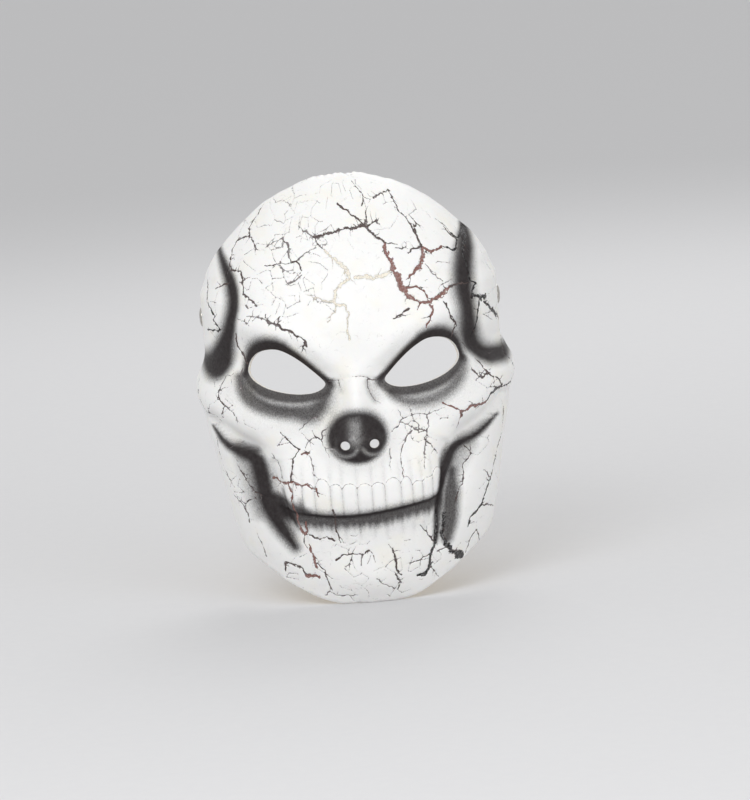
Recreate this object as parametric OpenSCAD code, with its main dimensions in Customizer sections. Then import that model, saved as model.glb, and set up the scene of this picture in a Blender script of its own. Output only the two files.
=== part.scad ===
/* [Latex skin] */
// Thickness of the moulded latex
skin_t = 1.6; // [1.2:0.1:2]
// Half width of the side tabs, outer face
tab_half_w = 74.8; // [73.6:0.2:76]
// Depth from the front of the face back to the side tabs
face_depth = 82; // [78:1:88]
// Height of the forehead above the inner corners of the eye holes
forehead_h = 97; // [93:1:99]
// Strength of the moulded skull relief
relief_k = 1; // [0.5:0.05:1.15]

/* [Rivets] */
// Height of the rivets above the inner corners of the eye holes
rivet_rise = 27; // [25:0.5:29]
// Distance of the rivets behind the start of the side tabs
rivet_setback = 6; // [5:0.5:7]
// Radius of the rivet posts
post_r = 2; // [1.5:0.1:2.4]
// Radius of the outer rivet heads
head_r = 4.8; // [4.2:0.1:6]
// Radius of the inner rivet caps
cap_r = 4.2; // [3.8:0.1:5]
// Thickness of the washers
washer_t = 0.6; // [0.4:0.1:1]
// Radius of the washers
washer_r = 5.2; // [4.6:0.1:6]

/* [Reinforcing patches] */
// Thickness of the patches bonded inside the tabs
patch_t = 1.2; // [0.8:0.1:1.6]
// Height of the patches
patch_h = 17; // [15:1:17]
// Length of the patches
patch_len = 18; // [15:1:18]

/* [Elastic strap] */
// Width of the elastic
strap_w = 14; // [10:1:16]
// Thickness of the elastic
strap_t = 1.2; // [0.8:0.1:1.6]
// Straight run behind each rivet
strap_run = 36; // [28:1:44]
// How far the rounded back of the loop reaches beyond the straight runs
strap_bow = 46; // [38:1:54]

/* [Hidden] */

$fn = 64;
// Clearance of the strap's hole around the post, and of the other holes
run_gap = 0.05;
// Free play of the strap between its patch and its washer
side_gap = 0.2;
// Glue line between latex and patch
bond_t = 0.05;

// The face is drawn from the inner corners of the eye holes and from its front plane;
// the part's origin is midway between the two rivets.
origin_shift = [0, -face_depth - rivet_setback, -rivet_rise];

// Stack along X on each side, from the outside in
tab_in = tab_half_w - skin_t;
patch_out = tab_in - bond_t;
patch_in = patch_out - patch_t;
strap_out = patch_in - side_gap;
strap_in = strap_out - strap_t;
washer_out = strap_in - side_gap;
washer_in = washer_out - washer_t;
cap_h = 1.5;
cap_hole_depth = 0.8;
head_h = 1.6;

// Squareness of the face's plan outline: 2 is an ellipse
plan_power = 2.4;
// Run of skin past the sides, for each degree beyond 90
tab_mm_per_deg = 1.3;
last_deg = 105;
columns = 66;
rows = 41;

// Half width of the face against height
half_width = [
  [-114, 51.5], [-100, 57.5], [-86, 63.6], [-75, 66.2], [-57, 69.7], [-39, 73.3], [-24, 77.6],
  [-9, 78.8], [3, 77.2], [11, tab_half_w], [18, tab_half_w], [38, tab_half_w], [40, tab_half_w],
  [46, tab_half_w - 2.5], [52, 70.2], [64, 62.7], [82, 44.5], [93, 28], [99, 12]
];
// Lower and upper edge of the skin against the angle round the face
lower_edge = [
  [0, -112], [20, -111], [38, -103], [55, -92.5], [69, -86], [75, -78], [80, -57], [83, -39],
  [85, -20], [88, 0], [91, 10], [95, 14.5], [100, 18], [105, 23]
];
upper_edge = [
  [0, forehead_h], [40, forehead_h - 2], [68, forehead_h - 13], [79, 65], [86, 50], [90, 42],
  [95, 39], [100, 36], [105, 31]
];

// Relief: centre x and z, radius along and across, tilt, height; drawn on one side
relief = [
  [36, 25, 22, 7, 18, 3.5],    // brow ridge
  [13, 11, 10, 6, 40, 2.5],    // inner end of the brow
  [0, 24, 14, 12, 0, 1.5],     // swelling between the brows
  [33, 6, 23, 11, 14, -6.5],   // eye socket
  [0, -8, 7, 15, 0, 8],        // nasal bones
  [0, -28, 14, 13, 0, 9],      // nose
  [26, -30, 10, 13, 0, -2],    // hollow beside the nose
  [60, -14, 24, 9, 28, 4.5],   // cheekbone
  [63, -28, 18, 6, 30, -3],    // undercut below the cheekbone
  [43, -58, 24, 6, 73, -4.5],  // groove beside the jaws
  [0, -54, 33, 20, 0, 7.5],    // upper and lower jaws
  [60, -58, 22, 8, 84, 1.5],   // rear of the lower jaw
  [0, -98, 22, 12, 0, 4],      // chin
  [59, 38, 20, 5, 95, -3],     // groove before the temple
  [66, 9, 12, 5, -38, -3]      // foot of that groove
];

// Eye hole outline, right eye
eye_outline = [
  [14, -0.5], [17, -3.6], [22, -5.1], [28, -5.3], [34, -4.7], [40, -3.4], [46, -1.3], [51, 1.8],
  [53.7, 5.2], [54.4, 8.6], [53.2, 12.2], [49.6, 15.6], [45, 17.4], [40, 18], [36, 17.3],
  [31, 14.2], [24, 8.7], [18, 3.4]
];
nostril_r = 2.3;
nostril_x = 6.8;
nostril_z = -30;

// Smooth curve through set points, read at u
function curve(u, pts) =
  let (
    last = len(pts) - 1,
    i = max(0, min(last - 1, len([for (p = pts) if (p[0] <= u) 1]) - 1)),
    a = pts[i], b = pts[i + 1],
    before = pts[max(i - 1, 0)], after = pts[min(i + 2, last)],
    w = b[0] - a[0],
    t = max(0, min(1, (u - a[0]) / w)),
    slope_a = w * (b[1] - before[1]) / (b[0] - before[0]),
    slope_b = w * (after[1] - a[1]) / (after[0] - a[0])
  )
  a[1] * (2 * t ^ 3 - 3 * t ^ 2 + 1) + slope_a * (t ^ 3 - 2 * t ^ 2 + t)
  + b[1] * (3 * t ^ 2 - 2 * t ^ 3) + slope_b * (t ^ 3 - t ^ 2);

// 0 below lo, 1 above hi, smooth between
function ease(u, lo, hi) =
  let (t = max(0, min(1, (u - lo) / (hi - lo)))) t * t * (3 - 2 * t);

// Depth of the middle of the face against height: the forehead leans back, the chin tucks in
function front(z) =
  z > 10 ? 60 * ((z - 10) / 85) ^ 2.6 : z < -60 ? 12 * ((-60 - z) / 50) ^ 2 : 0;

// Smooth face surface, by angle from the front and height
function face(deg, z) =
  let (
    w = curve(z, half_width),
    d = min(abs(deg), 90),
    n = (sin(d) ^ plan_power + cos(d) ^ plan_power) ^ (1 / plan_power),
    past = max(abs(deg) - 90, 0) * tab_mm_per_deg
  )
  [sign(deg) * w * sin(d) / n, front(z) + (face_depth - front(z)) * (1 - cos(d) / n) + past, z];

// Height of the relief at a place on the face
function raised(x, z) =
  sum([for (r = relief)
    let (
      dx = abs(x) - r[0], dz = z - r[1],
      u = (dx * cos(r[4]) + dz * sin(r[4])) / r[2],
      v = (dz * cos(r[4]) - dx * sin(r[4])) / r[3]
    )
    r[5] * exp(-u * u - v * v)]);
function sum(v) = v * [for (i = v) 1];

function unit(v) = v / norm(v);

// Point of the skin, a given distance inside its outer face
function skin_point(deg, z, inside) =
  let (
    p = face(deg, z),
    normal = unit(cross(face(deg + 0.5, z) - face(deg - 0.5, z), face(deg, z + 0.5) - face(deg, z - 0.5))),
    flat_tab = ease(abs(deg), 76, 86) * ease(z, 4, 14)
  )
  p + normal * (relief_k * raised(p[0], p[2]) * (1 - flat_tab) - inside);

// All points of one face of the skin, column by column
function skin_face(inside) =
  [for (c = [0:columns], r = [0:rows])
    let (
      across = 2 * c / columns - 1,
      deg = last_deg * across * (1.25 - 0.25 * across ^ 2),
      lo = curve(abs(deg), lower_edge),
      hi = curve(abs(deg), upper_edge)
    )
    skin_point(deg, lo + (hi - lo) * r / rows, inside)];

module skin_sheet() {
  per_face = (columns + 1) * (rows + 1);
  stride = rows + 1;
  outer = [for (c = [0:columns - 1], r = [0:rows - 1])
    let (i = c * stride + r)
    each [[i, i + 1, i + stride + 1], [i, i + stride + 1, i + stride]]];
  inner = [for (f = outer) [f[2] + per_face, f[1] + per_face, f[0] + per_face]];
  rim = concat(
    [for (r = [0:rows]) r],
    [for (c = [1:columns]) c * stride + rows],
    [for (r = [rows - 1:-1:0]) columns * stride + r],
    [for (c = [columns - 1:-1:1]) c * stride]
  );
  edge = [for (k = [0:len(rim) - 1])
    let (a = rim[k], b = rim[(k + 1) % len(rim)])
    each [[b, a, a + per_face], [b, a + per_face, b + per_face]]];
  polyhedron(points = concat(skin_face(0), skin_face(skin_t)), faces = concat(outer, inner, edge));
}

// Everything cut through the skin, in face coordinates
module skin_openings() {
  for (side = [-1, 1]) {
    translate([0, 60, 0])
      rotate([90, 0, 0])
        linear_extrude(100)
          polygon([for (p = eye_outline) [side * p[0], p[1]]]);
    translate([side * nostril_x, 20, nostril_z])
      rotate([90, 0, 0])
        cylinder(r = nostril_r, h = 80, $fn = 20);
    translate([side * (tab_half_w + 2), face_depth + rivet_setback, rivet_rise])
      rotate([0, -side * 90, 0])
        cylinder(r = post_r + 0.15, h = 6, $fn = 28);
  }
}

module latex_skin() {
  color("whitesmoke")
    translate(origin_shift)
      // the whole sheet is kept as one mesh
      resize([0, 0, 0])
        difference() {
          skin_sheet();
          skin_openings();
        }
}

// Places a profile drawn in Y and Z so that it fills X from near to far on one side
module side_plate(side, near, far) {
  translate([side > 0 ? near : -far, 0, 0])
    rotate([90, 0, 90])
      linear_extrude(far - near)
        children();
}

// Turns a profile of radius against distance outwards about the rivet axis
module side_turned(side) {
  rotate([0, side * 90, 0])
    rotate_extrude()
      children();
}

module temple_patch(side) {
  corner_r = 5;
  color("ivory")
    side_plate(side, patch_in, patch_out)
      difference() {
        union() {
          square([patch_len, patch_h - 2 * corner_r], center = true);
          square([patch_len - 2 * corner_r, patch_h], center = true);
          for (y = [-1, 1], z = [-1, 1])
            translate([y * (patch_len / 2 - corner_r), z * (patch_h / 2 - corner_r)])
              circle(corner_r);
        }
        circle(post_r + run_gap);
      }
}

module rivet(side) {
  dome = [for (t = [0:15:90]) [head_r * cos(t), tab_half_w + 0.4 + (head_h - 0.4) * sin(t)]];
  color("silver")
    side_turned(side)
      polygon(concat(
        [[0, washer_in - cap_hole_depth], [post_r, washer_in - cap_hole_depth]],
        [[post_r, tab_half_w], [head_r, tab_half_w]],
        dome
      ));
}

module rivet_washer(side) {
  color("silver")
    side_plate(side, washer_in, washer_out)
      difference() {
        circle(washer_r);
        circle(post_r + run_gap);
      }
}

module rivet_cap(side) {
  dome = [for (t = [0:15:90]) [cap_r * cos(t), washer_in - 0.4 - (cap_h - 0.4) * sin(t)]];
  color("silver")
    side_turned(side)
      polygon(concat(
        [[post_r, washer_in - cap_hole_depth], [post_r, washer_in], [cap_r, washer_in]],
        dome,
        [[0, washer_in - cap_hole_depth]]
      ));
}

// Length of strap that stays flat against the rivet
strap_end_len = 11;
// Angle of the rounded back that belongs to each stretching side run
side_turn = 36;

module strap_end(side) {
  color("black")
    side_plate(side, strap_in, strap_out)
      difference() {
        union() {
          circle(strap_w / 2);
          translate([0, -strap_w / 2])
            square([strap_end_len, strap_w]);
        }
        circle(post_r + run_gap);
      }
}

// Point of the strap loop seen from above, at a turn from its right side run, a given distance out
function loop_point(turn, out) =
  let (
    w = (strap_in + strap_out) / 2,
    across = unit([strap_bow * cos(turn), w * sin(turn)])
  )
  [w * cos(turn), strap_run + strap_bow * sin(turn)] + out * across;

// Flat band of elastic on edge between two turns, with an optional straight run before it
module strap_band(from, to, run_from) {
  steps = ceil((to - from) / 6);
  turns = [for (i = [0:steps]) from + (to - from) * i / steps];
  w = (strap_in + strap_out) / 2;
  start = run_from < strap_run ? [run_from] : [];
  outer = concat([for (y = start) [w + strap_t / 2, y]], [for (t = turns) loop_point(t, strap_t / 2)]);
  inner = concat([for (y = start) [w - strap_t / 2, y]], [for (t = turns) loop_point(t, -strap_t / 2)]);
  translate([0, 0, -strap_w / 2])
    linear_extrude(strap_w)
      polygon(concat(outer, [for (i = [len(inner) - 1:-1:0]) inner[i]]));
}

module strap_side(side) {
  color("black")
    mirror([side > 0 ? 0 : 1, 0, 0])
      strap_band(0, side_turn, strap_end_len);
}

module strap_back() {
  color("black")
    strap_band(side_turn, 180 - side_turn, strap_run);
}

latex_skin();
temple_patch(-1);  // temple_patch_left
temple_patch(1);  // temple_patch_right
rivet(-1);  // rivet_left
rivet(1);  // rivet_right
rivet_washer(-1);  // rivet_washer_left
rivet_washer(1);  // rivet_washer_right
rivet_cap(-1);  // rivet_cap_left
rivet_cap(1);  // rivet_cap_right
strap_end(-1);  // strap_end_left
strap_end(1);  // strap_end_right
strap_side(-1);  // strap_side_left
strap_side(1);  // strap_side_right
strap_back();
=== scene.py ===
import math

import bmesh
import bpy
import numpy as np
from mathutils import Matrix, Vector, kdtree
from mathutils.geometry import delaunay_2d_cdt


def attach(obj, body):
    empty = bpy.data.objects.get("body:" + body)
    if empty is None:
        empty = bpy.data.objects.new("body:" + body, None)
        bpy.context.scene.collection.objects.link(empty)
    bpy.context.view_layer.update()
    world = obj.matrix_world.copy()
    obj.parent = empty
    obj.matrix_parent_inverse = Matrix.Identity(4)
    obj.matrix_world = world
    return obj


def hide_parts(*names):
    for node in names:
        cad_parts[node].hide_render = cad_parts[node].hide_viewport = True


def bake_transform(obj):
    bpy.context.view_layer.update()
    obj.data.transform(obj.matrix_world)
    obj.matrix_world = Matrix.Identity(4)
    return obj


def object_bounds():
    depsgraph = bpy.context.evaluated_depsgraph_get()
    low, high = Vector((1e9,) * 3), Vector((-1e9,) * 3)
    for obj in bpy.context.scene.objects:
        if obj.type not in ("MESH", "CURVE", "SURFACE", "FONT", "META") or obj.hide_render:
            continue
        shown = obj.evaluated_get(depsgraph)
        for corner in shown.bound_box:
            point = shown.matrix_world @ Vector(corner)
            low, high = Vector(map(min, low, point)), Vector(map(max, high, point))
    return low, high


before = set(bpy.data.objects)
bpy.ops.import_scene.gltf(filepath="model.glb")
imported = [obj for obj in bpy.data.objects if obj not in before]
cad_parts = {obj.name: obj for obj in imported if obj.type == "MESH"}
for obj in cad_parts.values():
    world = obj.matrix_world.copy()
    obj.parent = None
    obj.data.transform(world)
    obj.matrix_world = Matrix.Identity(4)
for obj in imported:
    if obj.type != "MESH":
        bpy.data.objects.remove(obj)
CAD_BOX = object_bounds()

MM = 0.001

# ---------------------------------------------------------------- face surface
# Millimetres in face coordinates: x to the viewer's right, y back into the mask,
# z up from the inner corners of the eye holes. The same surface as the CAD skin.
FACE_DEPTH = 82.0
RIVET_DEPTH = 88.0
RIVET_RISE = 27.0
ORIGIN_SHIFT = np.array([0.0, -RIVET_DEPTH, -RIVET_RISE])
TAB_HALF_W = 74.8
SKIN_T = 1.6
PLAN_POWER = 2.4
TAB_MM_PER_DEG = 1.3
LAST_DEG = 105.0

# Half width by height
HALF_WIDTH = [
    (-114, 51.5), (-100, 57.5), (-86, 63.6), (-75, 66.2), (-57, 69.7), (-39, 73.3), (-24, 77.6),
    (-9, 78.8), (3, 77.2), (11, TAB_HALF_W), (18, TAB_HALF_W), (38, TAB_HALF_W), (40, TAB_HALF_W),
    (46, TAB_HALF_W - 2.5), (52, 70.2), (64, 62.7), (82, 44.5), (93, 28), (99, 12),
]
# Height of the skin's edges by angle from the front
LOWER_EDGE = [
    (0, -112), (20, -111), (38, -103), (55, -92.5), (69, -86), (75, -78), (80, -57), (83, -39),
    (85, -20), (88, 0), (91, 10), (95, 14.5), (100, 18), (105, 23),
]
UPPER_EDGE = [
    (0, 97), (40, 95), (68, 84), (79, 65), (86, 50), (90, 42), (95, 39), (100, 36), (105, 31),
]
# Large relief: centre x and z, radius along and across, tilt, height; on both sides
RELIEF = [
    (36, 25, 22, 7, 18, 3.5),     # brow ridge
    (13, 11, 10, 6, 40, 2.5),     # inner end of the brow
    (0, 24, 14, 12, 0, 1.5),      # swelling between the brows
    (33, 6, 23, 11, 14, -6.5),    # eye socket
    (0, -8, 7, 15, 0, 8),         # nasal bones
    (0, -28, 14, 13, 0, 9),       # nose
    (26, -30, 10, 13, 0, -2),     # hollow beside the nose
    (60, -14, 24, 9, 28, 4.5),    # cheekbone
    (63, -28, 18, 6, 30, -3),     # undercut below the cheekbone
    (43, -58, 24, 6, 73, -4.5),   # groove beside the jaws
    (0, -54, 33, 20, 0, 7.5),     # upper and lower jaws
    (60, -58, 22, 8, 84, 1.5),    # rear of the lower jaw
    (0, -98, 22, 12, 0, 4),       # chin
    (59, 38, 20, 5, 95, -3),      # groove before the temple
    (66, 9, 12, 5, -38, -3),      # foot of that groove
]
# Right eye hole, which the left one mirrors
EYE_OUTLINE = [
    (14, -0.5), (17, -3.6), (22, -5.1), (28, -5.3), (34, -4.7), (40, -3.4), (46, -1.3),
    (51, 1.8), (53.7, 5.2), (54.4, 8.6), (53.2, 12.2), (49.6, 15.6), (45, 17.4), (40, 18), (36, 17.3),
    (31, 14.2), (24, 8.7), (18, 3.4),
]
# Right breathing hole: centre x and z, radius
NOSTRIL = (6.8, -30.0, 2.3)


def curve(u, points):
    """Smooth curve through set points, read at u."""
    p = np.array(points, float)
    u = np.asarray(u, float)
    i = np.clip(np.searchsorted(p[:, 0], u, side="right") - 1, 0, len(p) - 2)
    a, b = p[i], p[i + 1]
    before, after = p[np.maximum(i - 1, 0)], p[np.minimum(i + 2, len(p) - 1)]
    w = b[..., 0] - a[..., 0]
    t = np.clip((u - a[..., 0]) / w, 0, 1)
    slope_a = w * (b[..., 1] - before[..., 1]) / (b[..., 0] - before[..., 0])
    slope_b = w * (after[..., 1] - a[..., 1]) / (after[..., 0] - a[..., 0])
    return (a[..., 1] * (2 * t**3 - 3 * t**2 + 1) + slope_a * (t**3 - 2 * t**2 + t)
            + b[..., 1] * (3 * t**2 - 2 * t**3) + slope_b * (t**3 - t**2))


def ease(u, lo, hi):
    """0 below lo, 1 above hi, smooth between."""
    t = np.clip((u - lo) / (hi - lo), 0, 1)
    return t * t * (3 - 2 * t)


def front(z):
    """Depth of the middle of the face: the forehead leans back, the chin tucks in."""
    lean = 60 * (np.maximum(z - 10, 0) / 85) ** 2.6
    tuck = 12 * (np.maximum(-60 - z, 0) / 50) ** 2
    return lean + tuck


def face(deg, z):
    """Smooth face surface, by angle from the front and height."""
    w = curve(z, HALF_WIDTH)
    d = np.radians(np.minimum(np.abs(deg), 90))
    s, c = np.sin(d), np.maximum(np.cos(d), 0)
    n = (s**PLAN_POWER + c**PLAN_POWER) ** (1 / PLAN_POWER)
    past = np.maximum(np.abs(deg) - 90, 0) * TAB_MM_PER_DEG
    y = front(z) + (FACE_DEPTH - front(z)) * (1 - c / n) + past
    return np.stack([np.sign(deg) * w * s / n, y, z + 0 * w], -1)


def bearing(x, z):
    """Angle from the front of the surface point seen at x and z."""
    k = np.clip(np.abs(x) / curve(z, HALF_WIDTH), 0, 0.9999)
    return np.sign(x) * np.degrees(np.arctan2(k, (1 - k**PLAN_POWER) ** (1 / PLAN_POWER)))


def unrolled(points):
    """Points given by x and z, as flat coordinates: angle run out in millimetres, and z."""
    p = np.array([q[:2] for q in points], float)
    return np.stack([bearing(p[:, 0], p[:, 1]) * TAB_MM_PER_DEG, p[:, 1]], -1)


def blob(x, z, cx, cz, along, across, tilt, height):
    """Height of a smooth oval swelling."""
    c, s = math.cos(math.radians(tilt)), math.sin(math.radians(tilt))
    u = ((x - cx) * c + (z - cz) * s) / along
    v = ((z - cz) * c - (x - cx) * s) / across
    return height * np.exp(-u * u - v * v)


def large_relief(x, z):
    return sum(blob(np.abs(x), z, *row) for row in RELIEF)


def normals(deg, z):
    """Outward unit vectors of the smooth face surface."""
    step = 0.5
    across = face(deg + step, z) - face(deg - step, z)
    up = face(deg, z + step) - face(deg, z - step)
    n = np.cross(across, up)
    return n / np.linalg.norm(n, axis=-1, keepdims=True)


def tab_flatness(deg, z):
    """1 on the flat side tabs that take the rivets, 0 on the face."""
    return ease(np.abs(deg), 76, 86) * ease(z, 4, 14)


# ------------------------------------------------------------ lines on the face
def along_line(x, z, line):
    """Distance from each point to a polyline, how far along it, and the side (+1 left of it)."""
    p = np.array(line, float)[:, :2]
    lengths = np.linalg.norm(np.diff(p, axis=0), axis=1)
    starts = np.concatenate([[0], np.cumsum(lengths)])
    best = np.full(np.shape(x), 1e9)
    where = np.zeros(np.shape(x))
    side = np.ones(np.shape(x))
    for k, (a, b) in enumerate(zip(p, p[1:])):
        d = b - a
        t = np.clip(((x - a[0]) * d[0] + (z - a[1]) * d[1]) / max(lengths[k] ** 2, 1e-9), 0, 1)
        gap = np.hypot(x - a[0] - t * d[0], z - a[1] - t * d[1])
        near = gap < best
        best = np.where(near, gap, best)
        where = np.where(near, (starts[k] + t * lengths[k]) / starts[-1], where)
        turn = d[0] * (z - a[1]) - d[1] * (x - a[0])
        side = np.where(near, np.sign(turn), side)
    return best, where, side


def mirrored(line):
    return [(-q[0],) + tuple(q[1:]) for q in line]


def runs(p):
    """How far along a polyline each of its points lies."""
    return np.concatenate([[0], np.cumsum(np.linalg.norm(np.diff(p, axis=0), axis=1))])


def full_turn(steps):
    """Angles of even steps round a circle."""
    return np.arange(steps) * 2 * math.pi / steps


def rounded(line, passes=2):
    """Corner-cut polyline, with its ends kept."""
    p = np.array(line, float)
    for _ in range(passes):
        a, b = p[:-1], p[1:]
        p = np.concatenate([p[:1], np.stack([0.75 * a + 0.25 * b, 0.25 * a + 0.75 * b], 1)
                            .reshape(-1, p.shape[1]), p[-1:]])
    return p


def loop_points(outline, spacing):
    """A closed outline of x and z, smoothed and resampled at even spacing."""
    p = np.array(outline, float)
    for _ in range(3):
        q = np.roll(p, -1, axis=0)
        p = np.stack([0.75 * p + 0.25 * q, 0.25 * p + 0.75 * q], 1).reshape(-1, 2)
    return resampled(np.concatenate([p, p[:1]]), spacing)[:-1]


def resampled(line, spacing):
    """Points at even spacing along a line, with its ends kept."""
    p = np.array(line, float)
    run = runs(p)
    n = max(2, int(round(run[-1] / spacing)) + 1)
    at = np.linspace(0, run[-1], n)
    return np.stack([np.interp(at, run, p[:, k]) for k in range(p.shape[1])], -1)


def inside(points, outline):
    """Which points lie inside a closed outline."""
    x, y = points[:, 0], points[:, 1]
    odd = np.zeros(len(points), bool)
    for (x0, y0), (x1, y1) in zip(outline, np.roll(outline, -1, axis=0)):
        if y0 == y1:
            continue
        crosses = (y0 > y) != (y1 > y)
        odd ^= crosses & (x < (x1 - x0) * (y - y0) / (y1 - y0) + x0)
    return odd


# ------------------------------------------------------------------ fine relief
# Upper teeth from left to right: x of the gap before the tooth, height of the gum there and
# over the middle of the tooth; the last entry closes the row
TEETH = [
    (-45, -51.8, -50.0), (-40, -51.7, -48.7), (-34, -52.2, -47.8), (-29, -50.8, -48.6),
    (-23, -51.5, -46.3), (-15.5, -50.4, -49.0), (-10, -51.8, -49.2), (-3, -51.9, -49.7),
    (4, -51.4, -49.6), (10, -51.6, -48.0), (17.5, -51.6, -48.4), (23, -53.0, -51.2),
    (28, -51.9, -50.2), (33.5, -49.7, -46.4), (39.5, -48.8, -48.8),
]
GAPS, GUM_AT_GAPS, GUM_OVER_TEETH = np.array(TEETH).T
# Lower ends of the upper teeth
BITE = [(-46, -59.5), (-42, -62.4), (-35, -63.4), (-29, -63.9), (-16, -65.2), (-4, -65.4),
        (9, -64.3), (22, -62.8), (35, -61.0), (40, -58.8)]


def bite_line(x):
    """Height of the lower ends of the upper teeth."""
    return curve(np.clip(x, BITE[0][0], BITE[-1][0]), BITE)


def tooth_at(x):
    """Number of the tooth at each x, and how far across it the place is."""
    k = np.clip(np.searchsorted(GAPS, x, side="right") - 1, 0, len(GAPS) - 2)
    return k, np.clip((x - GAPS[k]) / (GAPS[k + 1] - GAPS[k]), 0, 1)


def gum_line(x):
    """Height of the gum, arched over each tooth."""
    k, t = tooth_at(x)
    between = GUM_AT_GAPS[k] * (1 - t) + GUM_AT_GAPS[k + 1] * t
    return between + (GUM_OVER_TEETH[k] - between) * (1 - np.abs(2 * t - 1) ** 2.5)


def in_row(x, margin, soft):
    """1 along the row of teeth and a margin beyond its ends, falling to 0 outside."""
    return ease(x - GAPS[0] + margin, 0, soft) * ease(GAPS[-1] + margin - x, 0, soft)


def teeth(x, z):
    """Rounded crowns of the upper teeth, with roots above them and below the bite."""
    _, t = tooth_at(x)
    crown = 1 - np.abs(2 * t - 1) ** 4
    row = in_row(x, 1.2, 1.6)
    low = ease(z - bite_line(x), -0.9, 0.7)
    high = ease(gum_line(x) - z, -0.5, 0.5)
    roots = ease(z, -64, -50) * ease(-z, 34, 46) * in_row(x, 6, 8)
    lower_roots = ease(-z, 74, 78) * ease(z, -92, -80) * ease(34 - np.abs(x), 0, 10)
    return (row * low * high * (0.35 + 0.75 * crown) + 0.35 * roots * (1 - high) * crown * row
            + 0.3 * lower_roots * crown)


# Grooves and ridges: the line in x and z, half width, height
CREASES = [
    ([(40, -59.8), (35, -62), (22, -64.3), (9, -65.8), (-4, -66.9), (-16, -66.7), (-29, -65.4),
      (-38, -64.2), (-45, -60.8)], 1.9, -1.7),
    ([(50, -2), (46, -6), (40, -9), (32, -10.5), (24, -10)], 1.5, 0.9),
    ([(52, -7), (45, -12.5), (36, -15), (26, -14.5), (18, -11)], 2.2, -0.8),
    ([(6, 2), (6, -3), (7, -6.5), (9, -10), (12, -12)], 0.8, -0.7),
    ([(0.5, 3.3), (5, 2.3), (8.5, 0.6), (12.5, 0.6)], 0.7, -0.7),
    ([(14, 6), (20, 11), (27, 17), (33, 21)], 2.0, 0.9),
]
# Lower edges of the cheekbones and side edges of the jaws: the side towards the face's middle
# and top stands proud of the side beyond it. The line, its drop, and how far the drop reaches
STEP_EDGES = [
    ([(-77, -19), (-70, -26), (-63, -32), (-57, -34.5), (-51, -34.5), (-47, -37)], 3.2, 9),
    ([(77, -17), (72, -24), (68, -28), (63, -31), (57, -33.6), (50, -34.7), (44, -35)], 3.2, 9),
    ([(-47, -37), (-46, -46), (-44.5, -56), (-42, -66), (-38, -75), (-34, -82)], 2.2, 7),
    ([(46, -34), (42, -41), (40.5, -50), (40, -60), (38.5, -70), (36.5, -80)], 2.2, 7),
]


def step_edge(x, z, line, drop, fade):
    """Lowers the face on the outer side of a line, fading out away from it."""
    gap, where, side = along_line(x, z, line)
    beyond = ease(gap * side, -0.6, 0.9)
    ends = ease(where, 0, 0.05) * ease(1 - where, 0, 0.25)
    return -drop * beyond * np.exp(-(gap / fade) ** 2) * ends


def nose(x, z):
    """Nasal opening with its rim, two bulbs and the septum between them."""
    rim_x, rim_z, cz = 14.2, 13.0, -27.5
    r = np.hypot(x / rim_x, (z - cz) / rim_z)
    edge = -1.3 * ease(1.06 - r, 0, 0.16)
    bulbs = sum(blob(x, z, s * 6.9, -29.5, 5.2, 6.2, 0, 2.6) for s in (-1, 1))
    septum = blob(x, z, 0, -25, 2.0, 9.5, 0, 1.0)
    rings = 0
    for s in (-1, 1):
        d = np.hypot(x - s * NOSTRIL[0], z - NOSTRIL[1])
        rings = rings + 0.5 * np.exp(-((d - 3.4) / 0.7) ** 2)
        rings = rings - 0.45 * np.exp(-((d - 6.4) / 0.8) ** 2)
    return edge + (bulbs + septum + rings) * ease(1.05 - r, 0, 0.2)


def ripple(x, z):
    """Slight unevenness of a hand-finished casting."""
    return (0.16 * np.sin(0.21 * x + 0.13 * z + 1.7) * np.sin(0.17 * z - 0.09 * x)
            + 0.07 * np.sin(0.55 * x - 0.31 * z) * np.sin(0.47 * z + 0.23 * x + 0.6))


def fine_relief(x, z):
    """Height of teeth, nose, creases and step edges over the large relief."""
    h = teeth(x, z) + nose(x, z) + ripple(x, z)
    for line, width, height in CREASES:
        crosses_middle = line[0][0] * line[-1][0] <= 0
        for side in (line,) if crosses_middle else (line, mirrored(line)):
            gap, where, _ = along_line(x, z, rounded(side))
            ends = ease(where, 0, 0.2) * ease(1 - where, 0, 0.2)
            h = h + height * np.exp(-(gap / width) ** 2) * ends
    for line, drop, fade in STEP_EDGES:
        if line[0][0] < 0:
            h = h + step_edge(x, z, rounded(line), drop, fade)
        else:
            h = h + step_edge(-x, z, rounded(mirrored(line)), drop, fade)
    return h


def skin_point(uv, within):
    """The skin's surface at flat coordinates, a given distance inside its outer face."""
    deg, z = uv[:, 0] / TAB_MM_PER_DEG, uv[:, 1]
    p = face(deg, z)
    x = p[:, 0]
    on_face = 1 - tab_flatness(deg, z)
    h = large_relief(x, z) * on_face + fine_relief(x, z) * on_face
    return p + normals(deg, z) * (h - within)[:, None]


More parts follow.
